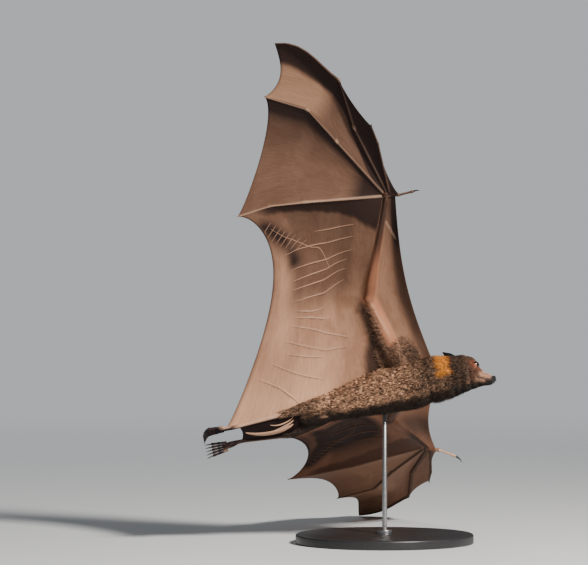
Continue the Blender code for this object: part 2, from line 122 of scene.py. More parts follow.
# Colours, linear.
WEB_BROWN = (0.23, 0.108, 0.064)
WEB_TAN = (0.43, 0.245, 0.157)
# Pale web, mostly used as painted light.
WEB_PALE = (0.56, 0.315, 0.195)
# Dark web, also used as painted shade on the web and legs.
WEB_DARK = (0.013, 0.007, 0.007)
BONE_SKIN = (0.52, 0.32, 0.22)
# Muscle tan; spread over the far wing it is painted light shining through the web.
MUSCLE_TAN = (0.52, 0.205, 0.105)
FOOT_DARK = (0.012, 0.007, 0.009)
FLESH_PINK = (0.30, 0.155, 0.12)
FACE_BROWN = (0.15, 0.075, 0.045)
NOSE_BLACK = (0.012, 0.011, 0.011)
HAIR_ROOT = (0.012, 0.006, 0.005)
HAIR_DARK = (0.040, 0.018, 0.012)
HAIR_TIP = (1.0, 0.56, 0.33)
HAIR_ORANGE = (1.0, 0.38, 0.05)
HAIR_RUST = (0.33, 0.10, 0.022)
HAIR_FACE = (0.23, 0.10, 0.055)
HAIR_MUZZLE = (1.0, 0.58, 0.39)
MUZZLE_SKIN = (0.60, 0.36, 0.25)
HAIR_RED = (0.36, 0.115, 0.060)
# Near-black of the belly, partly dark fur and partly painted shade.
HAIR_BELLY_AND_SHADE = (0.014, 0.008, 0.006)
HAIR_COLLAR_ROOT = (0.22, 0.065, 0.012)
# Of the arm's hair: tip, dark and root.
HAIR_ARM = ((0.60, 0.33, 0.19), (0.080, 0.038, 0.027), (0.030, 0.015, 0.011))
EAR_BLACK = (0.004, 0.004, 0.005)
PUPIL = (0.002, 0.002, 0.002)
EYE_RIM = (0.008, 0.005, 0.004)
# The dark and the light of each.
IRIS = ((0.010, 0.005, 0.003), (0.040, 0.017, 0.008))
HORN = ((0.005, 0.004, 0.004), (0.022, 0.017, 0.015))
LACQUER = ((0.016, 0.016, 0.018), (0.034, 0.034, 0.036))
STEEL = ((0.46, 0.46, 0.47), (0.62, 0.62, 0.63))
PAPER = ((0.62, 0.64, 0.66), (0.66, 0.675, 0.69))
ROOM_COLOUR = (0.93, 0.965, 1.0)

SIDES = ((1, "l"), (-1, "r"))


def turn(axis, degrees):
    """The matrix that turns by degrees about X or Y, as right-handed."""
    c, s = math.cos(math.radians(degrees)), math.sin(math.radians(degrees))
    if axis == "x":
        return np.array([[1, 0, 0], [0, c, -s], [0, s, c]])
    return np.array([[c, 0, s], [0, 1, 0], [-s, 0, c]])


POSE = turn("y", -PITCH) @ turn("x", -BANK)


def world(points):
    """Row-frame metres of points in the bat's frame."""
    return (np.asarray(points, float) @ POSE.T + [0, 0, RIDE_HEIGHT]) * 0.001


def unit(vectors):
    return vectors / np.maximum(np.linalg.norm(vectors, axis=-1, keepdims=True), 1e-9)


def ramp(value, start, stop):
    """0 before start, 1 after stop, an S curve between; start may lie above stop."""
    t = np.clip((value - start) / (stop - start), 0, 1)
    return t * t * (3 - 2 * t)


def bell(value, width):
    return np.exp(-(value / width) ** 2)


def most(*masks):
    """The greatest of some masks at each point."""
    return np.max(np.broadcast_arrays(*masks), axis=0)


def side_of(y):
    """1 on the left side, -1 on the right."""
    return np.sign(y + 1e-9)


def turned(vectors, side):
    """Points or directions of the left side, set on the given side; it turns them back as well."""
    return vectors * (np.array([1.0, 0.0, 1.0]) + np.asarray(side, float)[..., None] * [0.0, 1.0, 0.0])


def circle(count):
    """Evenly spaced angles round a full turn."""
    return np.arange(count) * 2 * np.pi / count


def spread_by(density, t, count, endpoint=True):
    """Values of t that lie as close together as density, given at each t, says."""
    total = np.concatenate([[0], np.cumsum((density[1:] + density[:-1]) / 2)])
    places = np.linspace(0, total[-1], count) if endpoint else np.arange(count) * total[-1] / count
    return np.interp(places, total, t)


def step(length, sweep, lift):
    """A bone as a vector, for the left side."""
    a, b = math.radians(sweep), math.radians(lift)
    return length * np.array([math.sin(a) * math.cos(b), math.cos(a) * math.cos(b), math.sin(b)])


def chain(start, bones):
    joints = [np.asarray(start, float)]
    for bone in bones:
        joints.append(joints[-1] + step(*bone))
    return np.array(joints)


def smooth(rows, t):
    """Catmull-Rom through rows at t counted in rows from 0."""
    rows = np.asarray(rows, float)
    padded = np.vstack([2 * rows[0] - rows[1], rows, 2 * rows[-1] - rows[-2]])
    t = np.clip(np.asarray(t, float), 0, len(rows) - 1)
    i = np.minimum(t.astype(int), len(rows) - 2)
    f = (t - i)[:, None]
    a, b, c, d = padded[i], padded[i + 1], padded[i + 2], padded[i + 3]
    slope_in, slope_out = (c - a) / 2, (d - b) / 2
    return ((2 * f**3 - 3 * f**2 + 1) * b + (f**3 - 2 * f**2 + f) * slope_in
            + (3 * f**2 - 2 * f**3) * c + (f**3 - f**2) * slope_out)


def lengths(line):
    """Distance run at each point of a polyline."""
    return np.concatenate([[0], np.cumsum(np.linalg.norm(np.diff(line, axis=0), axis=1))])


def along(line, t):
    """Points at t (0 to 1) of a polyline's length."""
    line = np.asarray(line, float)
    run = lengths(line)
    return np.stack([np.interp(np.asarray(t) * run[-1], run, line[:, k]) for k in range(3)], -1)


def nearest(points, line):
    """Distance of each point from a polyline, and how far along it (0 to 1) the nearest place is."""
    line = np.asarray(line, float)
    run = lengths(line)
    best = np.full(len(points), np.inf)
    where = np.zeros(len(points))
    for a, b, start in zip(line[:-1], line[1:], run[:-1]):
        way = b - a
        t = np.clip(((points - a) @ way) / (way @ way), 0, 1)
        gap = np.linalg.norm(points - a - t[:, None] * way, axis=1)
        closer = gap < best
        best = np.where(closer, gap, best)
        where = np.where(closer, (start + t * np.linalg.norm(way)) / run[-1], where)
    return best, where


def crowded(count, start=0.0, stop=0.0, reach=0.05):
    """Values from 0 to 1 that lie closer together near either end, by the factors given."""
    t = np.linspace(0, 1, 2001)
    return spread_by(1 + start * np.exp(-t / reach) + stop * np.exp((t - 1) / reach), t, count)


def scallop(t, depth, skew=1.0, fullness=0.8):
    """How far a trailing edge draws in, from one tip (0) to the next (1)."""
    return depth * np.sin(np.pi * np.clip(t, 0, 1) ** skew) ** fullness


# ---------------------------------------------------------------- meshes

def carry(mesh, name, rows):
    """Makes a mesh carry three numbers at each face's corner, for its material to read."""
    layer = mesh.attributes.new(name, "FLOAT_VECTOR", "CORNER")
    layer.data.foreach_set("vector", np.asarray(rows, np.float32).ravel())


def make_mesh(name, points, *face_sets, **values):
    """An object from whole arrays: world points, faces of 3 or 4 corners, and (corners, 3) values."""
    corners = np.concatenate([faces.ravel() for faces in face_sets])
    sizes = np.concatenate([np.full(len(faces), faces.shape[1]) for faces in face_sets])
    mesh = bpy.data.meshes.new(name)
    mesh.vertices.add(len(points))
    mesh.vertices.foreach_set("co", np.asarray(points, np.float32).ravel())
    mesh.loops.add(len(corners))
    mesh.loops.foreach_set("vertex_index", corners.astype(np.int32))
    mesh.polygons.add(len(sizes))
    starts = np.concatenate([[0], np.cumsum(sizes)[:-1]])
    mesh.polygons.foreach_set("loop_start", starts.astype(np.int32))
    mesh.update(calc_edges=True)
    for key, rows in values.items():
        if key == "bake_uv":
            layer = mesh.uv_layers.new(name="OFBake")
            layer.data.foreach_set("uv", np.asarray(rows, np.float32).ravel())
        else:
            carry(mesh, key, rows)
    mesh.polygons.foreach_set("use_smooth", np.ones(len(sizes), bool))
    obj = bpy.data.objects.new(name, mesh)
    bpy.context.scene.collection.objects.link(obj)
    return obj


def join(parts):
    """Puts (points, triangles, lay) parts that don't touch into one part."""
    count = 0
    points, faces, lays = [], [], []
    for part_points, part_faces, part_lay in parts:
        points.append(part_points)
        faces.append(part_faces + count)
        lays.append(part_lay)
        count += len(part_points)
    return np.vstack(points), np.vstack(faces), np.vstack(lays)


def mirror(part):
    """The same part on the right side."""
    points, faces, lay = part
    return turned(points, -1), faces[:, ::-1], lay[:, ::-1]


def halved(quads):
    """Two triangles for each four-cornered face."""
    return np.vstack([quads[:, [0, 1, 2]], quads[:, [0, 2, 3]]])


def closed_rings(rings, first, last, lay=None):
    """A closed part through rings (rows, sides, 3) with a pole at each end, faces outward.

    lay is what each ring point carries: by default the distance run and the distance round.
    """
    rows, sides = rings.shape[:2]
    points = np.vstack([rings.reshape(-1, 3), first, last])
    index = np.arange(rows * sides).reshape(rows, sides)
    after = np.roll(index, -1, axis=1)
    quads = np.stack([index[:-1], after[:-1], after[1:], index[1:]], -1).reshape(-1, 4)
    start = np.stack([after[0], index[0], np.full(sides, rows * sides)], -1)
    stop = np.stack([index[-1], after[-1], np.full(sides, rows * sides + 1)], -1)
    faces = np.vstack([halved(quads), start, stop])
    centre = rings.mean(1)
    middle = points[faces].mean(1)
    a, b, c = points[faces].transpose(1, 0, 2)
    normal = np.cross(b - a, c - a)
    row = np.minimum(faces.min(1) // sides, rows - 1)
    if ((middle - centre[row]) * normal).sum() < 0:
        faces = faces[:, ::-1]
    run = lengths(centre)
    around = np.linalg.norm(rings - np.roll(rings, 1, axis=1), axis=-1).cumsum(1)
    if lay is None:
        lay = np.stack([np.broadcast_to(run[:, None], (rows, sides)), around,
                        np.zeros((rows, sides))], -1)
    lay = np.vstack([lay.reshape(-1, 3), lay[0].mean(0), lay[-1].mean(0)])
    return points, faces, lay[faces].reshape(-1, 3, 3)


def tube(centres, wide, deep, sides, across):
    """Rings about a path; wide runs along the direction across, deep square to it."""
    centres = np.asarray(centres, float)
    tangent = unit(np.gradient(centres, axis=0))
    across = np.broadcast_to(across, centres.shape)
    side = unit(across - (across * tangent).sum(-1, keepdims=True) * tangent)
    top = np.cross(tangent, side)
    angle = circle(sides)
    wide, deep = np.broadcast_to(wide, len(centres)), np.broadcast_to(deep, len(centres))
    return (centres[:, None] + (wide[:, None] * np.cos(angle))[..., None] * side[:, None]
            + (deep[:, None] * np.sin(angle))[..., None] * top[:, None])


def rod(centres, wide, deep, sides, across=(0, 0, 1), tip=0.6):
    """A tube whose two ends are rounded off by a pole."""
    rings = tube(centres, wide, deep, sides, across)
    wide = np.broadcast_to(wide, len(centres))
    first = centres[0] - unit(centres[1] - centres[0]) * wide[0] * tip
    last = centres[-1] + unit(centres[-1] - centres[-2]) * wide[-1] * tip
    return closed_rings(rings, first, last)


# ---------------------------------------------------------------- wing

ARM = chain(SHOULDER, [HUMERUS, FOREARM])
WRIST = ARM[-1]
LINE_1 = chain(WRIST, THUMB)
LINE_2 = chain(WRIST, FINGER_2)
LINE_3 = chain(WRIST, FINGER_3)
LINE_4 = chain(WRIST, FINGER_4)
LINE_5 = chain(WRIST, FINGER_5)
# The fingers leave the wrist side by side, not from one point.
LINE_2[0] += (5.0, 3.0, 0.0)
LINE_3[0] += (1.2, 4.0, 2.2)
LINE_4[0] += (-3.4, 3.0, 1.5)
LINE_5[0] += (-6.2, -0.5, 0.5)


def bowed(line, bow, count):
    """A finger's joints as a path whose last bone bows outwards like a drawn bow."""
    t = np.linspace(0, 1, count)[1:]
    last = line[-2] + t[:, None] * (line[-1] - line[-2])
    outward = unit(np.array([0.75, 1.0, 0.3]))
    last += (bow * 4 * t * (1 - t) * (1 + 0.8 * (2 * t - 1)))[:, None] * outward
    return np.vstack([line[:-1], last])


BOW_3 = bowed(LINE_3, WINGTIP_BOW, 8)
HEEL = ANKLE + 0.8 * (SOLE - ANKLE)
LEG = np.array([SHOULDER, [-40.0, 24.0, 8.0], [-80.0, 18.0, -4.0], HIP, KNEE, ANKLE, HEEL])


def arm_surface(u, v):
    """Coons patch: u from the body and leg to the fifth finger, v from the arm to the free edge."""
    u, v = np.broadcast_arrays(u, v)
    a, b = along(ARM, u), along(LINE_5, v)
    c = along([HEEL, LINE_5[-1]], u)
    c[:, 0] += scallop(1 - u, 63.0, 0.8)
    c[:, 2] += scallop(1 - u, 32.0)
    d = along(LEG, v)
    u, v = u[:, None], v[:, None]
    corners = ((1 - u) * (1 - v) * ARM[0] + u * (1 - v) * WRIST
               + (1 - u) * v * HEEL + u * v * LINE_5[-1])
    points = (1 - v) * a + v * c + (1 - u) * d + u * b - corners
    points[:, 2] += 23.0 * (np.sin(np.pi * u**1.25) * np.sin(np.pi * v**0.85))[:, 0]
    return points


def finger_surface(first, second, depth, skew, inward, camber, crest=1.0):
    """A panel: u from one finger to the next, v from the wrist to the free edge."""
    inward = unit(np.asarray(inward, float))

    def surface(u, v):
        u, v = np.broadcast_arrays(u, v)
        points = (1 - u)[:, None] * along(first, v) + u[:, None] * along(second, v)
        points += (v ** 2.5 * scallop(u, depth, skew, 0.7))[:, None] * inward
        points[:, 2] += camber * np.sin(np.pi * u**crest) * np.minimum(1.6 * v, 1)
        return points
    return surface


def front_surface(u, v):
    """The web ahead of the arm: u from neck to wrist, v from the arm to the leading edge."""
    u, v = np.broadcast_arrays(u, v)
    arm = along(ARM, u) + u[:, None] * (LINE_5[0] - WRIST)
    lead = along([NECK_ROOT, WRIST + 0.7 * (LINE_1[1] - WRIST)], u)
    lead[:, 0] -= scallop(u, 11.5, 1.0, 1.0)
    lead[:, 2] -= 6.0 * np.sin(np.pi * u)
    points = (1 - v)[:, None] * arm + v[:, None] * lead
    points[:, 2] += 8.0 * np.sin(np.pi * v**1.5) * np.sin(np.pi * u)
    return points


def thumb_surface(u, v):
    """The small web between thumb and second finger: u from thumb to finger, v out from the wrist."""
    u, v = np.broadcast_arrays(u, v)
    finger = along([LINE_2[0], LINE_2[0] + 0.55 * (LINE_2[1] - LINE_2[0])], v)
    points = (1 - u)[:, None] * along([WRIST, LINE_1[1]], v) + u[:, None] * finger
    points[:, 1] -= v * scallop(u, 7.0, 1.0, 1.0)
    return points


def tail_surface(u, v):
    """The short web between the legs, hollow at its free edge: u from right leg to left."""
    u, v = np.broadcast_arrays(u, v)
    leg = along([HIP, KNEE, ANKLE], 0.24 + 0.73 * v - 0.03 * v * (1 - (2 * u - 1) ** 2))
    points = leg * np.stack([np.ones_like(u), 2 * u - 1, np.ones_like(u)], -1)
    points[:, 2] -= 5.0 * (1 - (2 * u - 1) ** 2) * np.sin(np.pi * v)
    return points


web_2_3 = finger_surface(LINE_2, LINE_3[:3], 5.0, 1.0, (-0.5, -0.7, -0.2), 1.5)
web_3_4 = finger_surface(BOW_3, LINE_4, 19.0, 1.5, (0.95, -0.3, -0.1), 9.0, 0.75)
web_4_5 = finger_surface(LINE_4, LINE_5, 23.0, 0.95, (0.93, 0.2, 0.1), 15.0)


def knuckled(line, radii, joints=(1, 2), swell=0.45):
    """A finger bone as (path, places, radii): it tapers, and swells at each joint."""
    run = lengths(line)
    t = np.linspace(0, 1, 120)
    size = np.interp(t, [0, 0.3, 0.7, 1], radii)
    for joint in joints:
        size = size * (1 + swell * bell((t - run[joint] / run[-1]) * run[-1], 3.2))
    return line, t, size


ARM_BONES = (
    (ARM[:2], (0, 0.25, 0.5, 0.75, 0.92, 1), (9.5, 9.8, 8.9, 6.6, 4.6, 5.2)),
    (ARM[1:], (0, 0.05, 0.14, 0.35, 0.7, 0.95, 1), (5.2, 4.6, 5.7, 4.1, 2.7, 2.7, 3.4)),
    knuckled(LINE_1[:2], (2.6, 2.4, 2.2, 2.2), (1,)),
    knuckled(LINE_2, (1.8, 1.25, 1.2, 0.8), (1,)),
    knuckled(BOW_3, (1.9, 1.5, 1.25, 0.65)),
    knuckled(LINE_4, (1.9, 1.5, 1.1, 0.55)),
    knuckled(LINE_5, (2.0, 1.6, 1.15, 0.55)),
    (np.array([HIP, KNEE, ANKLE, SOLE]), (0, 0.35, 0.5, 0.8, 1), (7.0, 3.6, 3.2, 2.0, 2.5)),
)
# Tendons that stand out below the web: from, to, size.
TENDONS = (
    (ARM[1] + (7.0, 5.0, 0.5), WRIST + (3.5, -3.0, -0.5), 1.5),
    (WRIST + (2.0, -6.0, -1.0), WRIST + (9.0, -42.0, -12.0), 0.9),
    (ARM[0] + 0.35 * (ARM[1] - ARM[0]) + (-7.0, 0.0, 0.0), ARM[1] + (-1.0, -4.0, 0.0), 2.6),
)
# Tendons that only show as pale lines: two from the elbow up the arm, one ahead of the wrist.
TENDON_LINES = np.array([
    (ARM[1] + (1.0, 2.0, 0.0), ARM[0] + 0.45 * (ARM[1] - ARM[0]) + (6.5, 0.0, 0.0)),
    (ARM[1] + (-1.5, 1.0, 0.0), ARM[0] + 0.55 * (ARM[1] - ARM[0]) + (-3.5, 0.0, 0.0)),
    (WRIST + (-8.0, -34.0, -6.0), WRIST + (3.0, -63.0, -14.0)),
])
# A point times this lies in the body's own plane.
FLAT = np.array([1.0, 1.0, 0.0])


def half_thickness(points):
    """Half the web's thickness at its mid-surface: each bone lifts it in a soft ridge; ridges merge."""
    total = np.full(len(points), (WEB / 2) ** 4)
    for line, places, radii in ARM_BONES:
        gap, t = nearest(points, line)
        size = np.interp(t, places, radii)
        total += (size * np.exp(-(gap / (1.05 * size)) ** 3.2)) ** 4
    for start, stop, size in TENDONS:
        gap, t = nearest(points, [start, stop])
        fade = np.sin(np.pi * np.clip(t, 0.02, 0.98)) ** 0.5
        total += (size * np.exp(-(gap / size) ** 2.2) * fade) ** 4
    return total ** 0.25


SPAN = 280.0
CHORD = 180.0
# Which panel a point lies on, carried as the third number of its lay.
ARM_PANEL, STRIP_PART, FRONT_PANEL, TIP_PANELS = 0.0, 0.4, 1.0, 2.0
BODY_PART, LEG_PART, FOLD_PART, EAR_PART = 5.0, 6.0, 6.3, 7.0
# How much of the wrist's surroundings takes the wrist's own normal, in mm.
WRIST_REACH = 16.0


def patch(surface, us, vs, flip, panel):
    """A grid of surface(u, v): points, quads facing the back, and each point's lay in mm."""
    uu, vv = np.meshgrid(us, vs, indexing="ij")
    points = surface(uu.ravel(), vv.ravel())
    rows = np.arange(uu.size).reshape(uu.shape)
    quads = np.stack([rows[:-1, :-1], rows[1:, :-1], rows[1:, 1:], rows[:-1, 1:]], -1).reshape(-1, 4)
    if panel in (ARM_PANEL, FRONT_PANEL):
        lay = np.stack([uu * SPAN, vv * CHORD, np.full_like(uu, panel)], -1)
    else:
        lay = np.stack([vv * CHORD, uu * CHORD * 0.7, np.full_like(uu, panel)], -1)
    return points, quads[:, ::-1] if flip else quads, lay.reshape(-1, 3)


def thickened(patches, height):
    """Closes welded patches into a skin: a face to either side of them, joined round the rim.

    height gives the distance of both faces from the mid-surface at each point.
    """
    count = 0
    points, quads, lays = [], [], []
    for part_points, part_quads, lay in patches:
        points.append(part_points)
        quads.append(part_quads + count)
        lays.append(lay)
        count += len(part_points)
    points, quads, lays = np.vstack(points), np.vstack(quads), np.vstack(lays)
    _, first, index = np.unique(np.round(points, 3), axis=0, return_index=True, return_inverse=True)
    index = index.ravel()
    middle = points[first]
    faces = index[quads]
    a, b, c, d = middle[faces].transpose(1, 0, 2)
    across = np.cross(c - a, d - b)
    normal = np.zeros_like(middle)
    for corner in range(4):
        np.add.at(normal, faces[:, corner], across)
    normal = unit(normal)
    to_wrist = np.linalg.norm(middle - WRIST, axis=1)
    wrist_normal = unit(normal[to_wrist < 25].mean(0)) if len(patches) > 2 else 0
    near = bell(to_wrist, WRIST_REACH)[:, None]
    normal = unit(normal * (1 - near) + wrist_normal * near)
    lift = height(middle)[:, None]

    edges = np.concatenate([faces[:, [k, (k + 1) % 4]] for k in range(4)])
    code = edges[:, 0] * len(middle) + edges[:, 1]
    back = edges[:, 1] * len(middle) + edges[:, 0]
    rim = edges[~np.isin(code, back)]
    tangent = np.zeros_like(middle)
    way = middle[rim[:, 1]] - middle[rim[:, 0]]
    np.add.at(tangent, rim[:, 0], way)
    np.add.at(tangent, rim[:, 1], way)
    outward = unit(np.cross(unit(tangent), normal))
    on_rim = np.unique(rim)
    rim_place = np.zeros(len(middle), int)
    rim_place[on_rim] = np.arange(len(on_rim))
    everything = np.vstack([middle + normal * lift, middle - normal * lift,
                            middle[on_rim] + outward[on_rim] * lift[on_rim] * 0.9])
    below = len(middle)
    top = halved(faces)
    bottom = top[:, ::-1] + below
    a, b = rim[:, 0], rim[:, 1]
    edge_a, edge_b = 2 * below + rim_place[a], 2 * below + rim_place[b]
    rim_faces = np.vstack([halved(np.stack([b, a, edge_a, edge_b], -1)),
                           halved(np.stack([edge_b, edge_a, a + below, b + below], -1))])
    welded_lay = lays[first]
    by_vertex = np.vstack([welded_lay, welded_lay, welded_lay[on_rim]])
    face_lay = lays[halved(quads)]
    corner_lay = np.concatenate([face_lay, face_lay[:, ::-1], by_vertex[rim_faces]])
    return everything, np.vstack([top, bottom, rim_faces]), corner_lay


def build_wing():
    """The left wing's skin: arm web, front web and three finger panels, welded along the bones."""
    us = crowded(108, 2.0, 3.5, 0.03)
    inner = lengths(LINE_3[:3])[-1] / lengths(BOW_3)[-1]
    vs_inner = crowded(37, 1.2, 0.0, 0.06)
    vs = np.concatenate([inner * vs_inner, inner + (1 - inner) * np.linspace(0, 1, 24)[1:]])
    panels = [
        patch(arm_surface, us, vs, False, ARM_PANEL),
        patch(front_surface, us, crowded(19, 1.5, 1.5, 0.08), True, FRONT_PANEL),
        patch(web_2_3, crowded(14, 1.0, 1.0, 0.1), vs_inner, True, TIP_PANELS),
        patch(web_3_4, crowded(32, 1.6, 2.0, 0.05), vs, True, TIP_PANELS + 1),
        patch(web_4_5, crowded(38, 1.8, 2.2, 0.05), vs, True, TIP_PANELS + 2),
    ]
    return thickened(panels, half_thickness)


def build_thumb_web():
    us, vs = np.linspace(0, 1, 10), np.linspace(0, 1, 12)
    return thickened([patch(thumb_surface, us, vs, True, TIP_PANELS)], half_thickness)


def build_tail_web():
    """The web between the legs; its ends lie inside the legs."""
    us, vs = np.linspace(0, 1, 34), np.linspace(0, 1, 24)
    web = patch(tail_surface, us, vs, False, LEG_PART)
    return thickened([web], lambda points: np.full(len(points), WEB / 2))


# Muscle strips in the arm web, leg side first: (u, v) of each one's start near the arm, middle and end.
STRIPS = (
    ((0.02, 0.60), (0.10, 0.75), (0.16, 0.92)),
    ((0.09, 0.46), (0.14, 0.65), (0.21, 0.86)),
    ((0.18, 0.46), (0.20, 0.60), (0.23, 0.76)),
    ((0.17, 0.26), (0.22, 0.51), (0.28, 0.77)),
    ((0.21, 0.24), (0.29, 0.49), (0.34, 0.75)),
    ((0.33, 0.38), (0.35, 0.53), (0.37, 0.72)),
    ((0.40, 0.37), (0.38, 0.53), (0.40, 0.73)),
    ((0.50, 0.23), (0.455, 0.43), (0.44, 0.75)),
    ((0.56, 0.22), (0.51, 0.50), (0.495, 0.79)),
    ((0.61, 0.22), (0.56, 0.49), (0.535, 0.81)),
    ((0.665, 0.18), (0.615, 0.46), (0.595, 0.82)),
    ((0.745, 0.18), (0.71, 0.42), (0.69, 0.88)),
    ((0.82, 0.19), (0.795, 0.37), (0.78, 0.57)),
)
# Half the width and height of a strip, of the vein and of a crossing.
STRIP_SIZE, VEIN_SIZE, CROSSING_SIZE = (1.05, 1.0), (0.75, 0.6), (0.65, 0.65)
# A vein that crosses them, from the wing's hind corner towards the elbow.
VEIN = ((0.91, 0.965), (0.79, 0.84), (0.70, 0.64), (0.68, 0.53), (0.625, 0.465), (0.53, 0.37))
# Short fine strips that cross the vein's hind end: how many, and the half length of each in u and v.
CROSSINGS = 8
CROSSING_REACH = (-0.029, 0.068)
# How far the shade beside the third finger reaches towards the fourth, from the wrist to the tip.
TIP_SHADE = (1.0, 0.85, 0.34, 0.20, 0.34, 0.48, 0.48, 0.42)
# The darker patch beside the vein, from end to end.
PATCH = ((0.885, 0.955, 0), (0.77, 0.86, 0), (0.64, 0.80, 0))
# The loose folds on the web between the legs, along their middle lines: u and v, then how wide.
FOLDS = (
    (((0.48, 0.955), (0.60, 0.80), (0.64, 0.62), (0.61, 0.42), (0.50, 0.22)), 5.2),
    (((0.57, 0.78), (0.62, 0.62), (0.54, 0.46), (0.44, 0.32), (0.34, 0.20)), 2.3),
    (((0.27, 0.56), (0.33, 0.48), (0.34, 0.40), (0.30, 0.30), (0.22, 0.20)), 1.3),
)


def under_web(u, v, depth):
    """Points of the arm web's under side, sunk by depth."""
    here = arm_surface(u, v)
    normal = unit(np.cross(arm_surface(u + 0.004, v) - here, arm_surface(u, v + 0.004) - here))
    return here - normal * (half_thickness(here) - depth)[:, None], normal


def smooth_path(places, t):
    """The u and the v of a smooth line through (u, v) places, at t counted in places from 0."""
    path = smooth(np.array([(u, v, 0.0) for u, v in places]), t)
    return path[:, 0], path[:, 1]


def build_strip(us, vs, wide, deep):
    """A thin ridge that fades out at both ends, half sunk in the under side of the arm web."""
    t = np.linspace(0, 1, len(us))
    centres, normal = under_web(us, vs, 0.25)
    fade = np.sin(np.pi * np.clip(t, 0.015, 0.985)) ** 0.45
    side = np.cross(unit(np.gradient(centres, axis=0)), normal)
    return closed_rings(tube(centres, wide * fade, deep * fade, 6, side), centres[0], centres[-1])


def build_strips():
    """The muscle strips, each a smooth line through its three places."""
    t = np.linspace(0, 2, 20)
    return join([build_strip(*smooth_path(places, t), *STRIP_SIZE) for places in STRIPS])


def build_vein():
    t = np.linspace(0, 1, 40)
    return build_strip(*smooth_path(VEIN, t * (len(VEIN) - 1)), *VEIN_SIZE)


def build_crossings():
    """Short strips across the first half of the vein, in the wing's hind corner."""
    parts = []
    t = np.linspace(-1, 1, 10)
    for u, v in zip(*smooth_path(VEIN, np.linspace(0.2, 1.7, CROSSINGS))):
        us, vs = u - 0.006 + CROSSING_REACH[0] * t, v + 0.014 + CROSSING_REACH[1] * t
        parts.append(build_strip(us, np.minimum(vs, 0.985), *CROSSING_SIZE))
    return join(parts)


def build_fold(places, wide):
    """A soft spindle of loose skin that lies on the under side of the tail web."""
    u, v = smooth_path(places, np.linspace(0, len(places) - 1, 40))
    here = tail_surface(u, v)
    normal = unit(np.cross(tail_surface(u + 0.01, v) - here, tail_surface(u, v + 0.01) - here))
    normal = normal * np.sign(-normal[:, 2:])
    t = np.linspace(0.01, 0.985, 40)
    fade = 1.3 * t**0.8 * (1 - t**4) + 0.06
    side = np.cross(unit(np.gradient(here, axis=0)), normal)
    deep = 0.2 + 0.28 * wide * fade
    rings = tube(here + normal * (WEB / 2 + 0.55 * deep)[:, None], 0.3 + wide * fade, deep, 14, side)
    return closed_rings(rings, here[0], here[-1])


def build_wrist():
    """The knobbly wrist, a lumpy ball over the roots of the fingers."""
    lat = np.linspace(-1.35, 1.35, 12)
    angle = circle(20)
    size = 1 + 0.08 * np.cos(3 * angle)[None] * np.cos(lat)[:, None]
    centre = WRIST + (-0.8, 1.2, 0.5)
    rings = np.stack([5.6 * np.cos(lat)[:, None] * np.cos(angle) * size,
                      4.8 * np.sin(lat)[:, None] + 0 * size,
                      3.5 * np.cos(lat)[:, None] * np.sin(angle) * size], -1) + centre
    return closed_rings(rings, centre - (0, 4.9, 0), centre + (0, 4.9, 0))


# ---------------------------------------------------------------- body

def section_at(x):
    """The body's section at each station: its station, height of centre, half width and half depth."""
    return smooth(SECTIONS, np.interp(x, SECTIONS[:, 0], np.arange(len(SECTIONS))))


def body_rings(first, last, rows, angles, inset):
    """Rings of the body's sections, each an upright ellipse drawn in by inset(station).

    rows is a number of even rows, or each row's place from 0 to 1.
    """
    stations = np.linspace(first, last, rows) if np.isscalar(rows) else first + (last - first) * rows
    found = section_at(stations)
    depth = inset(found[:, 0])[:, None]
    rings = np.zeros((len(stations), len(angles), 3))
    rings[..., 0] = found[:, :1]
    rings[..., 1] = np.maximum(found[:, 2:3] - depth, 0.3) * np.cos(angles)
    rings[..., 2] = found[:, 1:2] + np.maximum(found[:, 3:4] - depth, 0.3) * np.sin(angles)
    return rings


def coat(x):
    return np.interp(x, COAT_AT, COAT_DEPTH)


def build_trunk():
    """Trunk and neck under the coat; it closes inside the head."""
    rings = body_rings(-150.0, 84.0, 50, circle(72), lambda x: coat(x) + 6.0 * ramp(x, 74, 84) ** 2)
    return closed_rings(rings, [-151.5, 0, -27.5], rings[-1].mean(0))


MOUTH_AT = (108.0, 116.0, 124.0, 131.0, 139.0)
MOUTH_HEIGHT = (-16.5, -20.5, -23.3, -24.6, -25.2)


def face(points):
    """Shapes a plain head: narrow bridge, lips, jaw and cheeks. Points are (..., 3)."""
    x, y, z = np.moveaxis(points.copy(), -1, 0)
    section = section_at(x.ravel())
    middle = section[:, 1].reshape(x.shape)
    above = np.clip((z - middle) / np.maximum(section[:, 3].reshape(x.shape), 1), -1, 1)
    muzzle = ramp(x, 112, 124)
    y = y * (1 - 0.24 * muzzle * np.clip(above, 0, 1) ** 1.4)
    y = y * (1 - 0.10 * muzzle * bell(above, 0.35))
    # The bridge of the nose lies a little hollow between brow and tip.
    z = z - 0.9 * bell(x - 121, 5.0) * np.clip(above, 0, 1) ** 2
    # Mouth: a groove with a fuller lip over it and a narrower jaw under it.
    mouth = np.interp(x, MOUTH_AT, MOUTH_HEIGHT)
    shown = ramp(x, 109, 114)
    off = z - mouth
    width = -0.9 * bell(off, 0.75) + 0.45 * bell(off - 1.7, 1.0) - 0.9 * ramp(off, 0.2, -1.0)
    y = y + side_of(y) * width * shown * np.clip(np.abs(y) / 3.0, 0, 1)
    x = x - 3.2 * ramp(off, 0.4, -1.2) * ramp(x, 130, 138)
    return np.stack([x, y, z], -1)


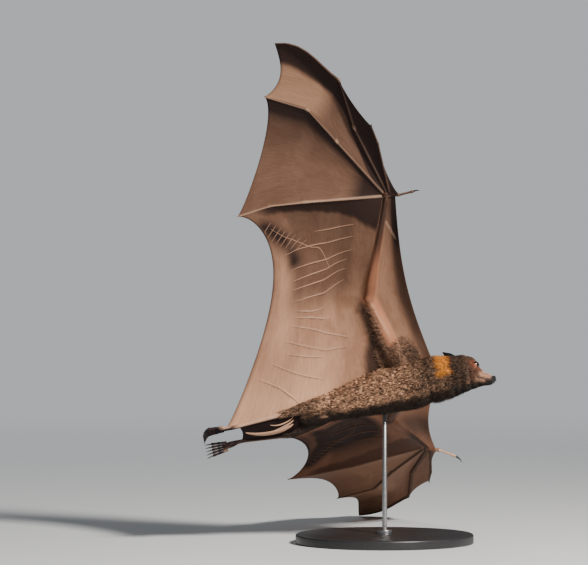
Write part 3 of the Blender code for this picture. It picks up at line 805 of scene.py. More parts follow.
def lidded(points, side):
    """Draws the skin round one eye onto the ball as two lids with a swollen rim."""
    centre, axis = turned(EYE, side), unit(turned(EYE_AXIS, side))
    forward = unit(np.array([1.0, 0, 0]) - axis[0] * axis)
    up = np.cross(axis, forward) * -side
    rel = points - centre
    a, b, out = rel @ forward, rel @ up, rel @ axis
    slant = b - 0.16 * a
    # Almond opening: wider than high, its inner corner drawn forward and down.
    half_wide, half_above, half_below = EYE_OPENING
    reach = np.sqrt((a / half_wide) ** 2 + (slant / np.where(slant > 0, half_above, half_below)) ** 2)
    flat = np.sqrt(a**2 + b**2)
    ball = np.sqrt(np.clip(EYE_RADIUS**2 - flat**2, 0, None))
    rim = np.sqrt(np.clip((EYE_RADIUS + 0.75) ** 2 - flat**2, 0, None))
    lid = np.where(reach < 1, ball - 2.5, rim)
    facing = ramp(out, 0.0, 2.0)
    pull = facing * ramp(reach, 1.9, 1.22)
    shift = (lid - out) * pull + 0.35 * bell(reach - 1.3, 0.16) * facing
    return points + shift[..., None] * axis


def build_head():
    """Rings of the head under its short coat, closest together round the eyes and muzzle."""
    t = np.linspace(0, 2 * np.pi, 2001)
    density = 1 + 2.2 * bell(np.minimum(np.abs(t - 0.22), np.abs(t - 0.22 - 2 * np.pi)), 0.30)
    density += 2.2 * bell(t - (np.pi - 0.22), 0.30)
    angles = spread_by(density, t, 120, endpoint=False)
    t = np.linspace(0, 1, 2001)
    rows = spread_by(1 + 2.6 * bell(t - 0.66, 0.10) + 1.2 * ramp(t, 0.85, 1.0), t, 92)
    rings = face(body_rings(67.0, 138.0, rows, angles, lambda x: coat(x) + 1.2 * ramp(x, 80, 70)))
    for side in (1, -1):
        rings = lidded(rings, side)
    return rings


def closed_head(rings):
    tip = rings[-1].mean(0) + [0.7, 0, 0]
    return closed_rings(rings, rings[0].mean(0), tip)


def build_nostril():
    """One short nostril: a swollen ring about a pit that opens forward and to the side."""
    axis = unit(np.array([0.72, 0.62, 0.10]))
    t = np.linspace(0, 1, 16)
    knots = [0, 0.35, 0.6, 0.72, 0.8, 1.0]
    radius = np.interp(t, knots, [2.4, 2.55, 2.2, 1.6, 1.15, 0.9])
    place = np.interp(t, knots, [-1.6, 0.3, 1.3, 1.55, 1.2, -0.5])
    centres = NOSTRIL + place[:, None] * axis
    angle = circle(20)
    one = unit(np.cross(axis, [0, 0, 1.0]))
    two = np.cross(axis, one)
    rings = centres[:, None] + radius[:, None, None] * (
        np.cos(angle)[None, :, None] * one * 0.85 + np.sin(angle)[None, :, None] * two)
    return closed_rings(rings, centres[0] - axis * 0.4, centres[-1] - axis * 0.1)


def build_ear():
    """A pointed leaf, cupped forwards: the section is a crescent that narrows to the tip."""
    t = np.linspace(-0.22, 0.985, 26)
    spine = EAR_ROOT + np.outer(t, EAR_TIP - EAR_ROOT)
    rise = np.clip(t, 0, 1)
    way = unit(EAR_TIP - EAR_ROOT)
    across = np.array([1.0, 0.3, 0.45])
    across = unit(across - way * (across @ way))
    facing = np.cross(way, across)
    spine = spine + (1.2 * rise**2)[:, None] * -across
    wide = 6.6 * (1 - rise**1.7) ** 0.7 * (0.72 + 0.28 * np.sin(np.pi * np.clip(rise + 0.15, 0, 1)))
    angle = circle(28)
    hollow = 0.36 * wide
    thick = np.interp(rise, [0, 0.3, 1], [1.5, 0.8, 0.4])
    c, s = np.cos(angle), np.sin(angle)
    offset = hollow[:, None] * c**2 - hollow[:, None] * 0.6 + thick[:, None] * s
    rings = (spine[:, None] + (wide[:, None] * c)[..., None] * across - offset[..., None] * facing)
    return closed_rings(rings, spine[0], spine[-1] + way * 0.3)


def leg_path():
    """Hip, knee and ankle joined by a bend that is a little rounded, then the foot to the toe roots."""
    corners = np.array([HIP + 0.15 * (HIP - KNEE), KNEE, ANKLE, SOLE + 0.25 * (SOLE - ANKLE)])
    t = np.linspace(0, 1, 90)
    path = along(corners, t)
    for _ in range(5):
        path[1:-1] = (path[:-2] + 2 * path[1:-1] + path[2:]) / 4
    return path, lengths(corners) / lengths(corners)[-1]


# The way that the toes spread, in degrees above straight out to the side: left foot, right foot.
FOOT_TURN = {1: -45.0, -1: -12.0}


def splay(side):
    angle = math.radians(FOOT_TURN[side])
    return np.array([0, math.cos(angle), math.sin(angle)])


def build_leg(side):
    """Thigh, shin and foot as one limb: full at thigh and calf, thin at the ankle, broad at the toes."""
    path, joints = leg_path()
    t = np.linspace(0, 1, len(path))
    knee, ankle = joints[1], joints[2]
    knots = [0, 0.5 * knee, knee - 0.03, knee, knee + 0.12, ankle - 0.06, ankle, 0.94, 1]
    size = np.interp(t, knots, [9.0, 7.6, 4.6, 4.3, 4.3, 2.6, 3.0, 4.7, 4.2])
    deep = np.interp(t, knots, [9.0, 7.2, 4.7, 4.6, 4.0, 2.7, 2.9, 2.6, 2.0])
    return rod(path, size, deep, 22, splay(side), 0.5)


def toe_path(k, t, side):
    """Toe k, 0 to 4, from the sole (0) to the claw's tip (1), its claw hooked down."""
    offset = (k - 2) / 2
    root = SOLE + unit(SOLE - ANKLE) * 3.2 + splay(side) * offset * 6.3
    path = root + np.outer(t * TOE_LENGTH, (-1, 0.05, -0.06)) + np.outer(t, splay(side)) * offset * 3.6
    curl = np.clip(t - 0.5, 0, 1) ** 2 * 27.0
    return path + np.outer(curl, (0.25, -0.7, -0.7))


def build_toe(k, side):
    """A toe's flesh: two joints and a pad where the claw leaves it."""
    t = np.linspace(-0.10, 0.62, 22)
    s = np.clip(t, 0, 1)
    size = 1.55 + 0.25 * bell(s - 0.28, 0.05) + 0.35 * bell(s - 0.55, 0.07)
    return rod(toe_path(k, t, side), size, size * 1.08, 12, splay(side), 0.6)


def build_toe_claw(k, side):
    """A flat-sided hooked claw, deep at the root and fine at the point."""
    t = np.linspace(0.54, 1.02, 22)
    s = (t - 0.54) / 0.48
    path = toe_path(k, t, side) + np.outer(s**2.2 * 4.6, (0.35, -0.65, -0.65))
    return rod(path, 1.1 * (1 - s) ** 0.6 + 0.09, 1.9 * (1 - s) ** 0.65 + 0.1, 12, splay(side), 0.5)


def build_thumb():
    """The thumb's free bones, with a swollen joint and a pad under the claw."""
    t = np.linspace(0, 1, 44)
    path = along(LINE_1[:3] + unit(LINE_1[1] - LINE_1[0]) * 1.0, t * 0.97)
    size = np.interp(t, [0, 0.35, 0.8, 1], [2.5, 1.65, 1.6, 1.7])
    size = size + 0.7 * bell(t - 0.41, 0.04) + 0.5 * bell(t - 0.92, 0.05)
    return rod(path, size, size, 16, (0, 0, 1), 0.5)


def build_thumb_claw():
    t = np.linspace(0, 1, 24)
    way = unit(LINE_1[3] - LINE_1[2])
    path = LINE_1[2] + way + np.outer(t * 12.0, way) + np.outer(t**2.2 * 5.4, (-0.45, 0.2, -0.88))
    wide, deep = 1.15 * (1 - t) ** 0.7 + 0.08, 1.75 * (1 - t) ** 0.75 + 0.08
    return rod(path, wide, deep, 12, (0.45, 1.0, 0), 0.4)


def build_finger_claw():
    """The small claw of the second finger."""
    t = np.linspace(0, 1, 16)
    way = unit(LINE_2[-1] - LINE_2[-2])
    path = LINE_2[-1] + way * -0.6 + np.outer(t * 6.6, way) + np.outer(t**2 * 3.0, (0.5, 0, -0.8))
    taper = (1 - t) ** 0.7
    return rod(path, 0.7 * taper + 0.06, 0.9 * taper + 0.06, 10, (0, 0, 1), 0.4)


# ---------------------------------------------------------------- markings

def markings(points):
    """What skin and coat share: two sets of three masks for points in the bat's frame.

    The first is collar, face and muzzle; the second is red round the eye, black nose and lips, dark fur
    and painted shade.
    """
    x, y, z = points[..., 0], points[..., 1], points[..., 2]
    centre = section_at(x.ravel())[:, 1].reshape(x.shape)
    radius = np.hypot(y, z - centre) + 1e-6
    low = (z - centre) / radius
    on_body = ramp(radius, 66, 50)
    wobble = 2.0 * np.sin(y * 0.31 + 1.3) + 1.6 * np.sin(z * 0.37 + x * 0.11)
    wobble = wobble + 1.2 * np.sin(0.9 * z + 0.7 * y)
    collar = ramp(x + wobble, 54, 68) * ramp(x + 0.8 * wobble, 91, 77)
    collar = collar * ramp(low, -0.86, -0.40) * on_body
    on_face = ramp(x, 97, 110) * on_body
    muzzle = ramp(x - 0.5 * (z + 18), 110, 122) * ramp(z, -28, -23) * ramp(x, 138.5, 134)
    # Red rings the eye and runs down in a streak before it.
    to_eye = np.linalg.norm(turned(points, side_of(y)) - EYE, axis=-1)
    to_streak = np.hypot(0.6 * (x - 119.5), z + 7.5 + 0.8 * (x - 119.5))
    red = np.clip(0.8 * bell(to_eye - 6.6, 1.6) + 0.6 * bell(to_streak, 1.8), 0, 1) * ramp(x, 96, 104)
    # Black nose tip, line of the mouth and chin.
    over_mouth = z - np.interp(x, MOUTH_AT, MOUTH_HEIGHT)
    black = most(ramp(x - 0.35 * (z + 20), 132.2, 133.8),
                 bell(over_mouth + 0.3, 1.0) * ramp(x, 110, 115) * 0.95,
                 0.95 * ramp(over_mouth, -0.3, -1.6) * ramp(x, 120, 127))
    # Dark fur on the mantle and the rump. Along the belly and under the rump the dark leans to the far
    # side: painted shade, over some dark belly fur.
    keel = (0.64 * y - 0.77 * (z - centre)) / radius
    mantle = 0.74 * ramp(x + wobble, 2, 46) * ramp(x, 114, 98)
    dark_fur_and_shade = most(ramp(keel, 0.42, 0.70), mantle + 0.6 * ramp(x, -106, -132),
                    ramp(keel, 0.10, 0.45) * ramp(x, -78, -104)) * on_body
    # A small bare patch of paler skin at the groin.
    groin = np.linalg.norm((points - GROIN) * [0.8, 1.2, 1.0], axis=-1)
    dark_fur_and_shade = dark_fur_and_shade * ramp(groin, 3.5, 6.5)
    muzzle = np.maximum(muzzle, 0.85 * ramp(groin, 6.0, 3.5))
    return np.stack([collar, on_face, muzzle], -1), np.stack([red, np.clip(black, 0, 1), dark_fur_and_shade], -1)


# Where along a panel its free edge darkens, from none to full.
DARK_RIM = (0.975, 0.998)


def bone_masks(left, far, strip):
    """How pale bones, tendons and strips are; the painted shade beside the fingers and in the arm's
    groove.

    left is each point turned to the left side, and far says which points were there.
    """
    bones, sides = [], []
    for line, places, radii in ARM_BONES[2:7]:
        gap, t = nearest(left, line)
        size = np.interp(t, places, radii)
        bones.append(ramp(gap, 1.25 * size + 0.4, 0.6 * size))
        # A ring of painted shade beside each finger.
        sides.append(ramp(gap, 3.0 * size + 0.6, 1.4 * size + 0.3))
    _, second, third, fourth, fifth = bones
    for joint in (*LINE_3[1:3], *LINE_4[1:3], LINE_5[1]):
        fifth = np.maximum(fifth, 0.6 * ramp(np.linalg.norm(left - joint, axis=1), 3.6, 1.8))
    # Pale bones and strips, partly a painted highlight on the near wing, kept dull on the far wing as
    # painted shade.
    pale = most(fifth, 0.50 * fourth**2, 0.36 * third**2, 0.24 * second**2)
    bone = np.maximum(np.where(far, 0.25, 1.0) * pale, np.where(far, 0.0, 0.34) * strip)
    # Pale tendon lines, dulled on the far wing as painted shade.
    for ends in TENDON_LINES:
        gap, t = nearest(left * FLAT, ends * FLAT)
        line = ramp(gap, 2.2, 0.9) * ramp(np.abs(2 * t - 1), 1.0, 0.7)
        bone = np.maximum(bone, np.where(far, 0.1, 0.42) * line)
    # Painted shade in the groove between the two tendon lines.
    gap, t = nearest(left * FLAT, TENDON_LINES[:2].mean(0) * FLAT)
    return bone, most(*sides[1:4]), ramp(gap, 2.4, 0.8) * ramp(t, 1.0, 0.6)


def arm_web_shade(u, v, lay, far, upper_t):
    """Dark of the arm web: painted shade among its strips, beside the fifth finger and behind the upper
    arm.
    """
    # Painted shade among the strips and towards the fifth finger.
    shade = most(0.64 * ramp(u, 0.32, 0.50) * ramp(v, 0.95, 0.72) * ramp(v, 0.04, 0.24),
                 0.42 * ramp(u, 0.40, 0.60) * ramp(v, 0.92, 0.78),
                 0.50 * ramp(u, 0.62, 0.80))
    # The darker patch beside the vein is the web's own colour.
    gap, _ = nearest(lay * FLAT, np.array(PATCH) * [SPAN, CHORD, 0])
    shade = shade + 0.50 * bell(gap, 13.0)
    # A band of painted shadow along the body side of the fifth finger, with a ragged border.
    border = 0.84 + 0.10 * v - 0.06 * bell(v, 0.22)
    border = border + 0.004 * np.sin(41 * v) + 0.003 * np.sin(97 * v + 1)
    finger_shadow_band = ramp(u, border - 0.03, border + 0.045) * ramp(v, 1.05, 0.8)
    # The upper arm's cast shadow on the web, painted, narrowing towards the elbow.
    reach = np.interp(upper_t, (0.1, 0.3, 0.55, 0.85, 1.0), (0.19, 0.175, 0.10, 0.095, 0.05))
    arm_cast_shadow = ramp(u, 0.425, 0.395) * ramp(v, reach + 0.04, reach - 0.03)
    edge = 0.20 * ramp(v, 0.86, 0.96) * ramp(u, 0.25, 0.5) + 0.6 * ramp(v, *DARK_RIM)
    return most(shade, np.where(far, 0.80, 0.95) * finger_shadow_band,
                np.where(far, 0.30, 0.90) * arm_cast_shadow, edge)


def skin_masks(points, lay):
    """For the skin alone: how far a point is pale ridge, muscle, pale web; dark, foot, tail web; much of
    it is painted light and shade.
    """
    x, y, panel = points[:, 0], points[:, 1], lay[:, 2]
    left = turned(points, side_of(y))
    # Where the far wing, the left, differs from the near one, its colour is painted shade and painted
    # light shining through the web.
    far = y > 0
    strip = (panel > 0.3) & (panel < 0.5)
    bone, finger_side_shade, groove = bone_masks(left, far, strip)
    # The forearm narrows to the wrist; the upper arm is broad and fades out at the shoulder.
    fore_gap, fore_t = nearest(left, ARM[1:])
    size = np.interp(fore_t, (0, 0.14, 0.35, 1), (6.5, 6.5, 4.5, 3.4))
    fore = ramp(fore_gap, 1.9 * size, 0.9 * size)
    upper_gap, upper_t = nearest(left, ARM[:2])
    upper = ramp(upper_gap, 15.0, 7.0) * ramp(upper_t, 0.0, 0.25)
    # Painted shade in the armpit.
    shoulder = ramp(upper_t, 0.34, 0.10) * ramp(upper_gap, 40, 20)
    arm = np.maximum(fore * ramp(fore_t, 0.85, 0.35), upper)
    # The panels of the web, the arm's two less the arm itself.
    u, v = lay[:, 0] / SPAN, lay[:, 1] / CHORD
    inner_wing = panel < 1.5
    on_arm = (panel < 0.3) * (1 - arm)
    front = (panel > 0.5) * inner_wing * (1 - arm)
    tip_2, tip_3, tip_4 = [(panel > k - 0.5) & (panel < k + 0.5) for k in (2, 3, 4)]
    along_tip, across_tip = lay[:, 0] / CHORD, lay[:, 1] / CHORD / 0.7
    shade_end = np.interp(along_tip, (0, 0.12, 0.3, 0.45, 0.58, 0.70, 0.85, 1), TIP_SHADE)
    tip_shade = ramp(across_tip, shade_end + 0.07, shade_end - 0.05)

    # Dark: mostly painted shade, with the web's own darker patch and free edges.
    dark = on_arm * arm_web_shade(u, v, lay, far, upper_t)
    # Painted shade on the front web, darkest towards the wrist and the leading edge.
    dark += front * np.where(far, 0.10, 1.0) * (
        0.30 + 0.48 * ramp(u, 0.6, 0.95) - 0.10 * ramp(u, 0.45, 0.1) + 0.50 * ramp(v, 0.62, 0.84))
    # Strips painted dark on the far wing, and near-black painted shade ahead of the third finger.
    dark += strip * np.where(far, 0.7, 0.25) + tip_2 * np.where(far, 0.40, 0.97)
    # Tip panels: mostly painted shade beside the third finger and along the fourth.
    dark += np.where(far, 0.24, 1.0) * (
        tip_3 * (0.40 + 0.32 * ramp(along_tip, 0.76, 0.56) + 0.56 * tip_shade)
        + tip_4 * (0.63 + 0.14 * ramp(across_tip, 0.85, 0.15) * ramp(along_tip, 0.30, 0.80)
                   + 0.36 * ramp(across_tip, 0.30, 0.06) + 0.4 * ramp(along_tip, 0.30, 0.10)))
    # The far wing's arm web painted darker as shade.
    dark += far * inner_wing * (1 - arm) * (
        0.02 + 0.62 * ramp(u, 0.95, 0.60) * ramp(u, 0.30, 0.55) * ramp(v, 0.1, 0.4))
    # Painted shade beside the fingers, in the armpit, in the arm's groove and over the upper arm, most
    # on the far wing.
    dark = most(dark,
                0.6 * (tip_3 | tip_4) * ramp(along_tip, *DARK_RIM),
                0.80 * finger_side_shade,
                np.where(far, 0.25, 0.80) * shoulder * inner_wing,
                0.62 * groove,
                fore * (0.60 + 0.30 * ramp(fore_t, 0.25, 0.6)),
                np.where(far, 0.88, 0.32) * upper * inner_wing)

    # Pale: mostly painted light where the near wing is lit, with a lit wedge at the tip beside the
    # painted shade; the far wing keeps little of it.
    pale = on_arm * (0.75 * bell(v - 0.82, 0.09) * ramp(u, 0.80, 0.55) * ramp(u, 0.15, 0.35)
                     + ramp(u, 0.30, 0.0) * ramp(v, 0.26, 0.52))
    pale = pale + 0.45 * tip_3 * (1 - tip_shade) * ramp(along_tip, 0.58, 0.72)
    pale = pale * np.where(far, 0.2, 1.0)

    # Feet are dark; their paler outer side is painted light where the light falls. The near thumb is
    # dark and the far one pale, as painted light.
    foot = ramp(x, -236, -252) * (panel > 4)
    foot = foot * (1 - 0.7 * ramp(np.abs(y), 19.5, 22.0) * ramp(x, -272, -262))
    foot = np.where((panel > 5.5) & (x > 0), np.where(far, 0.0, 0.78), foot)
    # Mostly painted shade: the web between the legs and the legs' inner sides are dark, and the far side
    # darker.
    leg_line = np.interp(x, (ANKLE[0], KNEE[0], HIP[0]), (ANKLE[1], KNEE[1], HIP[1]))
    inner_leg = ramp(np.abs(y), leg_line + 2.2, leg_line - 1.2)
    tail = ((panel > 5.5) & (panel < 6.15) & (x < 0)) * np.maximum(inner_leg, 0.75 * far * (foot < 0.5))
    # On the far wing the muscle's red-brown spreads over the web: painted light shining through it.
    arm = np.maximum(arm, 0.50 * far * inner_wing)
    return (np.stack([bone, arm, np.clip(pale, 0, 1)], -1),
            np.stack([np.clip(dark, 0, 0.97), foot, tail], -1))


# ---------------------------------------------------------------- skin

FLESH = [n for n in frame["nodes"] if not n.startswith(("eye", "stand", "thumb_claw", "finger_2_claw"))]


def union(base, part, name):
    """Base joined with a second closed part; the values on their corners are kept."""
    points, faces, lay = part
    other = make_mesh(name, world(points), faces, lay=lay.reshape(-1, 3))
    merge = base.modifiers.new(name, "BOOLEAN")
    merge.object = other
    merge.operation = "UNION"
    merge.solver = "MANIFOLD"
    graph = bpy.context.evaluated_depsgraph_get()
    mesh = bpy.data.meshes.new_from_object(base.evaluated_get(graph))
    base.modifiers.clear()
    old = base.data
    base.data = mesh
    bpy.data.meshes.remove(old)
    bpy.data.objects.remove(other, do_unlink=True)


def read_back(mesh):
    """World points, corner vertex numbers and lay of a mesh, as arrays."""
    points = np.zeros(len(mesh.vertices) * 3, np.float32)
    mesh.vertices.foreach_get("co", points)
    corners = np.zeros(len(mesh.loops), np.int32)
    mesh.loops.foreach_get("vertex_index", corners)
    lay = np.zeros(len(mesh.loops) * 3, np.float32)
    mesh.attributes["lay"].data.foreach_get("vector", lay)
    return points.reshape(-1, 3).astype(float), corners, lay.reshape(-1, 3).astype(float)


def with_panel(part, panel):
    """The part with its lay marked as lying on this panel."""
    points, faces, lay = part
    lay = lay.copy()
    lay[..., 2] = panel
    return points, faces, lay


def both_sides(make, panel):
    left = with_panel(make(), panel)
    return join([left, mirror(left)])


def legs_and_toes(odd):
    """The two legs, or, by odd 0 or 1, every other toe of both feet; each foot turns its own way."""
    def one_side(side):
        if odd is None:
            return with_panel(build_leg(side), LEG_PART)
        return join([with_panel(build_toe(k, side), LEG_PART) for k in range(odd, 5, 2)])

    return join([one_side(1), mirror(one_side(-1))])


def build_skin(head_rings):
    """Everything bare or under the coat, joined into one closed skin with its masks."""
    wing = build_wing()
    points, faces, lay = join([wing, mirror(wing)])
    skin = make_mesh("skin", world(points), faces, lay=lay.reshape(-1, 3))
    folds = [("fold", with_panel(build_fold(places, wide), FOLD_PART)) for places, wide in FOLDS]
    for name, part in (
        ("trunk", with_panel(build_trunk(), BODY_PART)),
        ("head", with_panel(closed_head(head_rings), BODY_PART)),
        ("legs", legs_and_toes(None)),
        ("wrists", both_sides(build_wrist, BODY_PART)),
        ("thumbs", both_sides(build_thumb, LEG_PART)),
        ("ears", both_sides(build_ear, EAR_PART)),
        ("nostrils", both_sides(build_nostril, BODY_PART)),
        ("tail", with_panel(build_tail_web(), LEG_PART)),
        ("thumb_webs", both_sides(build_thumb_web, TIP_PANELS)),
        ("strips", both_sides(build_strips, STRIP_PART)),
        ("vein", both_sides(build_vein, STRIP_PART)),
        ("crossings", both_sides(build_crossings, STRIP_PART)),
        *folds,
        ("outer toes", legs_and_toes(0)),
        ("toes between", legs_and_toes(1)),
    ):
        union(skin, part, name)
    mesh = skin.data
    placed, corners, lay = read_back(mesh)
    points = (placed * 1000 - [0, 0, RIDE_HEIGHT]) @ POSE
    marks, face_marks = markings(points)
    tint, tone = skin_masks(points[corners], lay)
    carry(mesh, "marks", marks[corners])
    carry(mesh, "face_marks", face_marks[corners])
    carry(mesh, "tint", tint)
    carry(mesh, "tone", tone)
    mesh.polygons.foreach_set("use_smooth", np.ones(len(mesh.polygons), bool))
    mesh.set_sharp_from_angle(angle=math.radians(62))
    return skin


# ---------------------------------------------------------------- coat

def sow(grid, count, seed, weight=None):
    """Random places on a grid of points, evenly by area times weight.

    Returns points, outward normals and (row, column) as fractions of the grid.
    """
    rng = np.random.default_rng(seed)
    a, b, c, d = grid[:-1, :-1], grid[1:, :-1], grid[1:, 1:], grid[:-1, 1:]
    normal = np.cross(c - a, d - b)
    area = np.linalg.norm(normal, axis=-1)
    middle = (a + b + c + d) / 4
    if weight is not None:
        area = area * weight(middle)
    chance = area.ravel().cumsum()
    picked = np.searchsorted(chance, rng.random(count) * chance[-1])
    i, j = np.unravel_index(np.minimum(picked, chance.size - 1), area.shape)
    f, g = rng.random(count)[:, None], rng.random(count)[:, None]
    points = ((1 - f) * (1 - g) * a[i, j] + f * (1 - g) * b[i, j]
              + f * g * c[i, j] + (1 - f) * g * d[i, j])
    places = np.stack([(i + f[:, 0]) / area.shape[0], (j + g[:, 0]) / area.shape[1]], -1)
    return points, unit(normal[i, j]), places


def drift(points, size):
    """A slow, smooth, repeatable wander of direction over the body, for a coat that isn't combed."""
    x, y, z = (points / size).T
    return np.stack([np.sin(1.7 * y + 0.6 * z + 0.5) + 0.6 * np.sin(3.1 * z - 1.3 * x),
                     np.sin(1.9 * x + 0.8 * z + 2.1) + 0.6 * np.sin(2.7 * x + 2.2 * y),
                     np.sin(1.5 * x - 0.9 * y + 4.0) + 0.6 * np.sin(3.3 * y + 1.7 * x)], -1) * 0.5


def place_piece(piece, material, nodes):
    piece.data.materials.append(material)
    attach(piece, "root")
    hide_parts(*nodes)


# How far across each tuft's own patch is in the bake map.
TUFT_PATCH = 0.003


def tufts(name, sown, lie, length, width, stand, seed, nodes, material):
    """A piece of coat: each tuft is a flat spindle of three sides that rises and bends along the skin.

    sown is what sow gave, lie the way the hair runs, and stand the degrees at which it leaves the skin.
    Length and width are in mm.
    """
    roots, normals, places = sown
    rng = np.random.default_rng(seed)
    count = len(roots)
    length = np.broadcast_to(length, count) * rng.uniform(0.7, 1.25, count)
    width = np.broadcast_to(width, count) * rng.uniform(0.7, 1.2, count)
    lie = lie + rng.normal(0, 0.16, (count, 3))
    lie = unit(lie - (lie * normals).sum(-1, keepdims=True) * normals)
    across = np.cross(normals, lie)
    angle = np.radians(np.broadcast_to(stand, count) * rng.uniform(0.6, 1.5, count))[:, None]
    rise = lie * np.cos(angle) + normals * np.sin(angle)
    fall = lie * np.cos(angle * 0.35) + normals * np.sin(angle * 0.35)
    sway = across * rng.normal(0, 0.12, (count, 1)) * length[:, None]
    start = roots - normals * 0.6
    middle = roots + rise * length[:, None] * 0.45
    tip = middle + fall * length[:, None] * 0.55 + sway
    lift = np.cross(lie, across)
    half = (width / 2)[:, None]
    ring = [middle - across * half, middle + lift * half * 0.55, middle + across * half]
    vertices = np.stack([start, *ring, tip], 1)
    local = np.array([(0, 1, 2), (1, 4, 2), (0, 2, 3), (2, 4, 3), (0, 3, 1), (3, 4, 1)])
    faces = (local + np.arange(count)[:, None, None] * 5).reshape(-1, 3)
    spread = np.array([0, -0.5, 0, 0.5, 0])
    height = np.array([-0.5, 0, 0, 0, 0.5])
    uv = (0.02 + 0.96 * places)[:, None] + np.stack([spread, height], -1) * TUFT_PATCH
    # Each corner carries how far along the hair it is and its tuft's two chances.
    chances = rng.random((count, 1)), rng.random((count, 1))
    along_hair = np.array([[0, 0.5, 0.5, 0.5, 1.0]])
    strand = np.stack(np.broadcast_arrays(along_hair, *chances), -1)
    marks, face_marks = markings(roots)
    corners = faces.ravel()
    owner = corners // 5
    piece = make_mesh(name, world(vertices.reshape(-1, 3)), faces,
                      strand=strand.reshape(-1, 3)[corners], marks=marks[owner],
                      face_marks=face_marks[owner], bake_uv=uv.reshape(-1, 2)[corners])
    place_piece(piece, material, nodes)


# ---------------------------------------------------------------- materials

def feed(tree, made, **inputs):
    """Sets a shader node's inputs: each is a value or the socket that feeds it; i0, i1 go by number."""
    for key, value in inputs.items():
        by_number = key[1:].isdigit()
        socket = made.inputs[int(key[1:])] if by_number else made.inputs[key.replace("_", " ")]
        if isinstance(value, bpy.types.NodeSocket):
            tree.links.new(value, socket)
        elif socket.type == "RGBA":
            socket.default_value = (*value, 1)
        else:
            socket.default_value = value


def node(tree, kind, settings=None, **inputs):
    """Adds a shader node and sets its inputs as feed does."""
    made = tree.nodes.new("ShaderNode" + kind)
    for key, value in (settings or {}).items():
        setattr(made, key, value)
    feed(tree, made, **inputs)
    return made


def maths(tree, operation, a, b):
    return node(tree, "Math", {"operation": operation}, i0=a, i1=b).outputs[0]


def add(tree, a, b):
    return maths(tree, "ADD", a, b)


def multiply(tree, a, b):
    return maths(tree, "MULTIPLY", a, b)


def about_zero(tree, value, size):
    """A value that lies about a half, moved to lie about zero and then scaled."""
    return multiply(tree, maths(tree, "SUBTRACT", value, 0.5), size)


def blend(tree, amount, a, b):
    """Colour a turning into colour b by amount."""
    return node(tree, "Mix", {"data_type": "RGBA"}, i0=amount, i6=a, i7=b).outputs[2]


def band(tree, value, start, stop, low=0.0, high=1.0):
    """A value run from one range to another, held at its ends."""
    made = node(tree, "MapRange", {"interpolation_type": "SMOOTHSTEP"},
                i0=value, i1=start, i2=stop, i3=low, i4=high)
    return made.outputs[0]


def carried(tree, name):
    """What the mesh carries under this name: all three numbers at once, then each."""
    made = node(tree, "Attribute", {"attribute_type": "GEOMETRY", "attribute_name": name})
    split = node(tree, "SeparateXYZ", i0=made.outputs["Vector"])
    return made.outputs["Vector"], split.outputs


def noise(tree, vector, scale, detail=3.0, rough=0.5, warp=0.0, stretch=None):
    if stretch:
        vector = node(tree, "Mapping", Vector=vector, Scale=stretch).outputs[0]
    made = node(tree, "TexNoise", Vector=vector, Scale=scale, Detail=detail, Roughness=rough,
                Distortion=warp)
    return made.outputs[0]


def bump(tree, height, strength, distance):
    return node(tree, "Bump", Height=height, Strength=strength, Distance=distance).outputs[0]


def group(name, inputs, outputs):
    """An empty shader group: (name, kind, default) inputs and (name, kind) outputs."""
    tree = bpy.data.node_groups.new(name, "ShaderNodeTree")
    for title, kind, default in inputs:
        socket = tree.interface.new_socket(title, in_out="INPUT", socket_type="NodeSocket" + kind)
        socket.default_value = (*default, 1) if kind == "Color" else default
    for title, kind in outputs:
        tree.interface.new_socket(title, in_out="OUTPUT", socket_type="NodeSocket" + kind)
    return tree, tree.nodes.new("NodeGroupInput").outputs, tree.nodes.new("NodeGroupOutput")


def use(tree, made_group, **inputs):
    """Places a group in a material and gives its outputs."""
    placed = tree.nodes.new("ShaderNodeGroup")
    placed.node_tree = made_group
    feed(tree, placed, **inputs)
    return placed.outputs


def finish(name):
    """A new material: itself, its tree and its Principled shader."""
    made = bpy.data.materials.new(name)
    made.use_nodes = True
    return made, made.node_tree, made.node_tree.nodes["Principled BSDF"]


def make_creases():
    """Group: how high, how dark and how mottled thin creased skin is at each place of its lay."""
    tree, given, made = group("fine creases", [("Lay", "Vector", (0, 0, 0))],
                              [("Height", "Float"), ("Tone", "Float"), ("Mottle", "Float")])
    lay = given["Lay"]
    fine = noise(tree, lay, 1.0, 4.0, 0.62, 0.4, (0.055, 0.75, 1.0))
    coarse = noise(tree, lay, 1.0, 3.0, 0.55, 0.8, (0.022, 0.16, 1.0))
    pores = noise(tree, lay, 1.0, 2.0, 0.5, 0.0, (1.1, 1.1, 1.0))
    mottle = noise(tree, lay, 1.0, 5.0, 0.6, 0.6, (0.028, 0.035, 0.6))
    height = add(tree, multiply(tree, fine, 0.55), multiply(tree, coarse, 0.9))
    height = add(tree, height, multiply(tree, pores, 0.12))
    feed(tree, made, Height=height, Tone=band(tree, fine, 0.3, 0.72),
         Mottle=band(tree, mottle, 0.32, 0.68))
    return tree


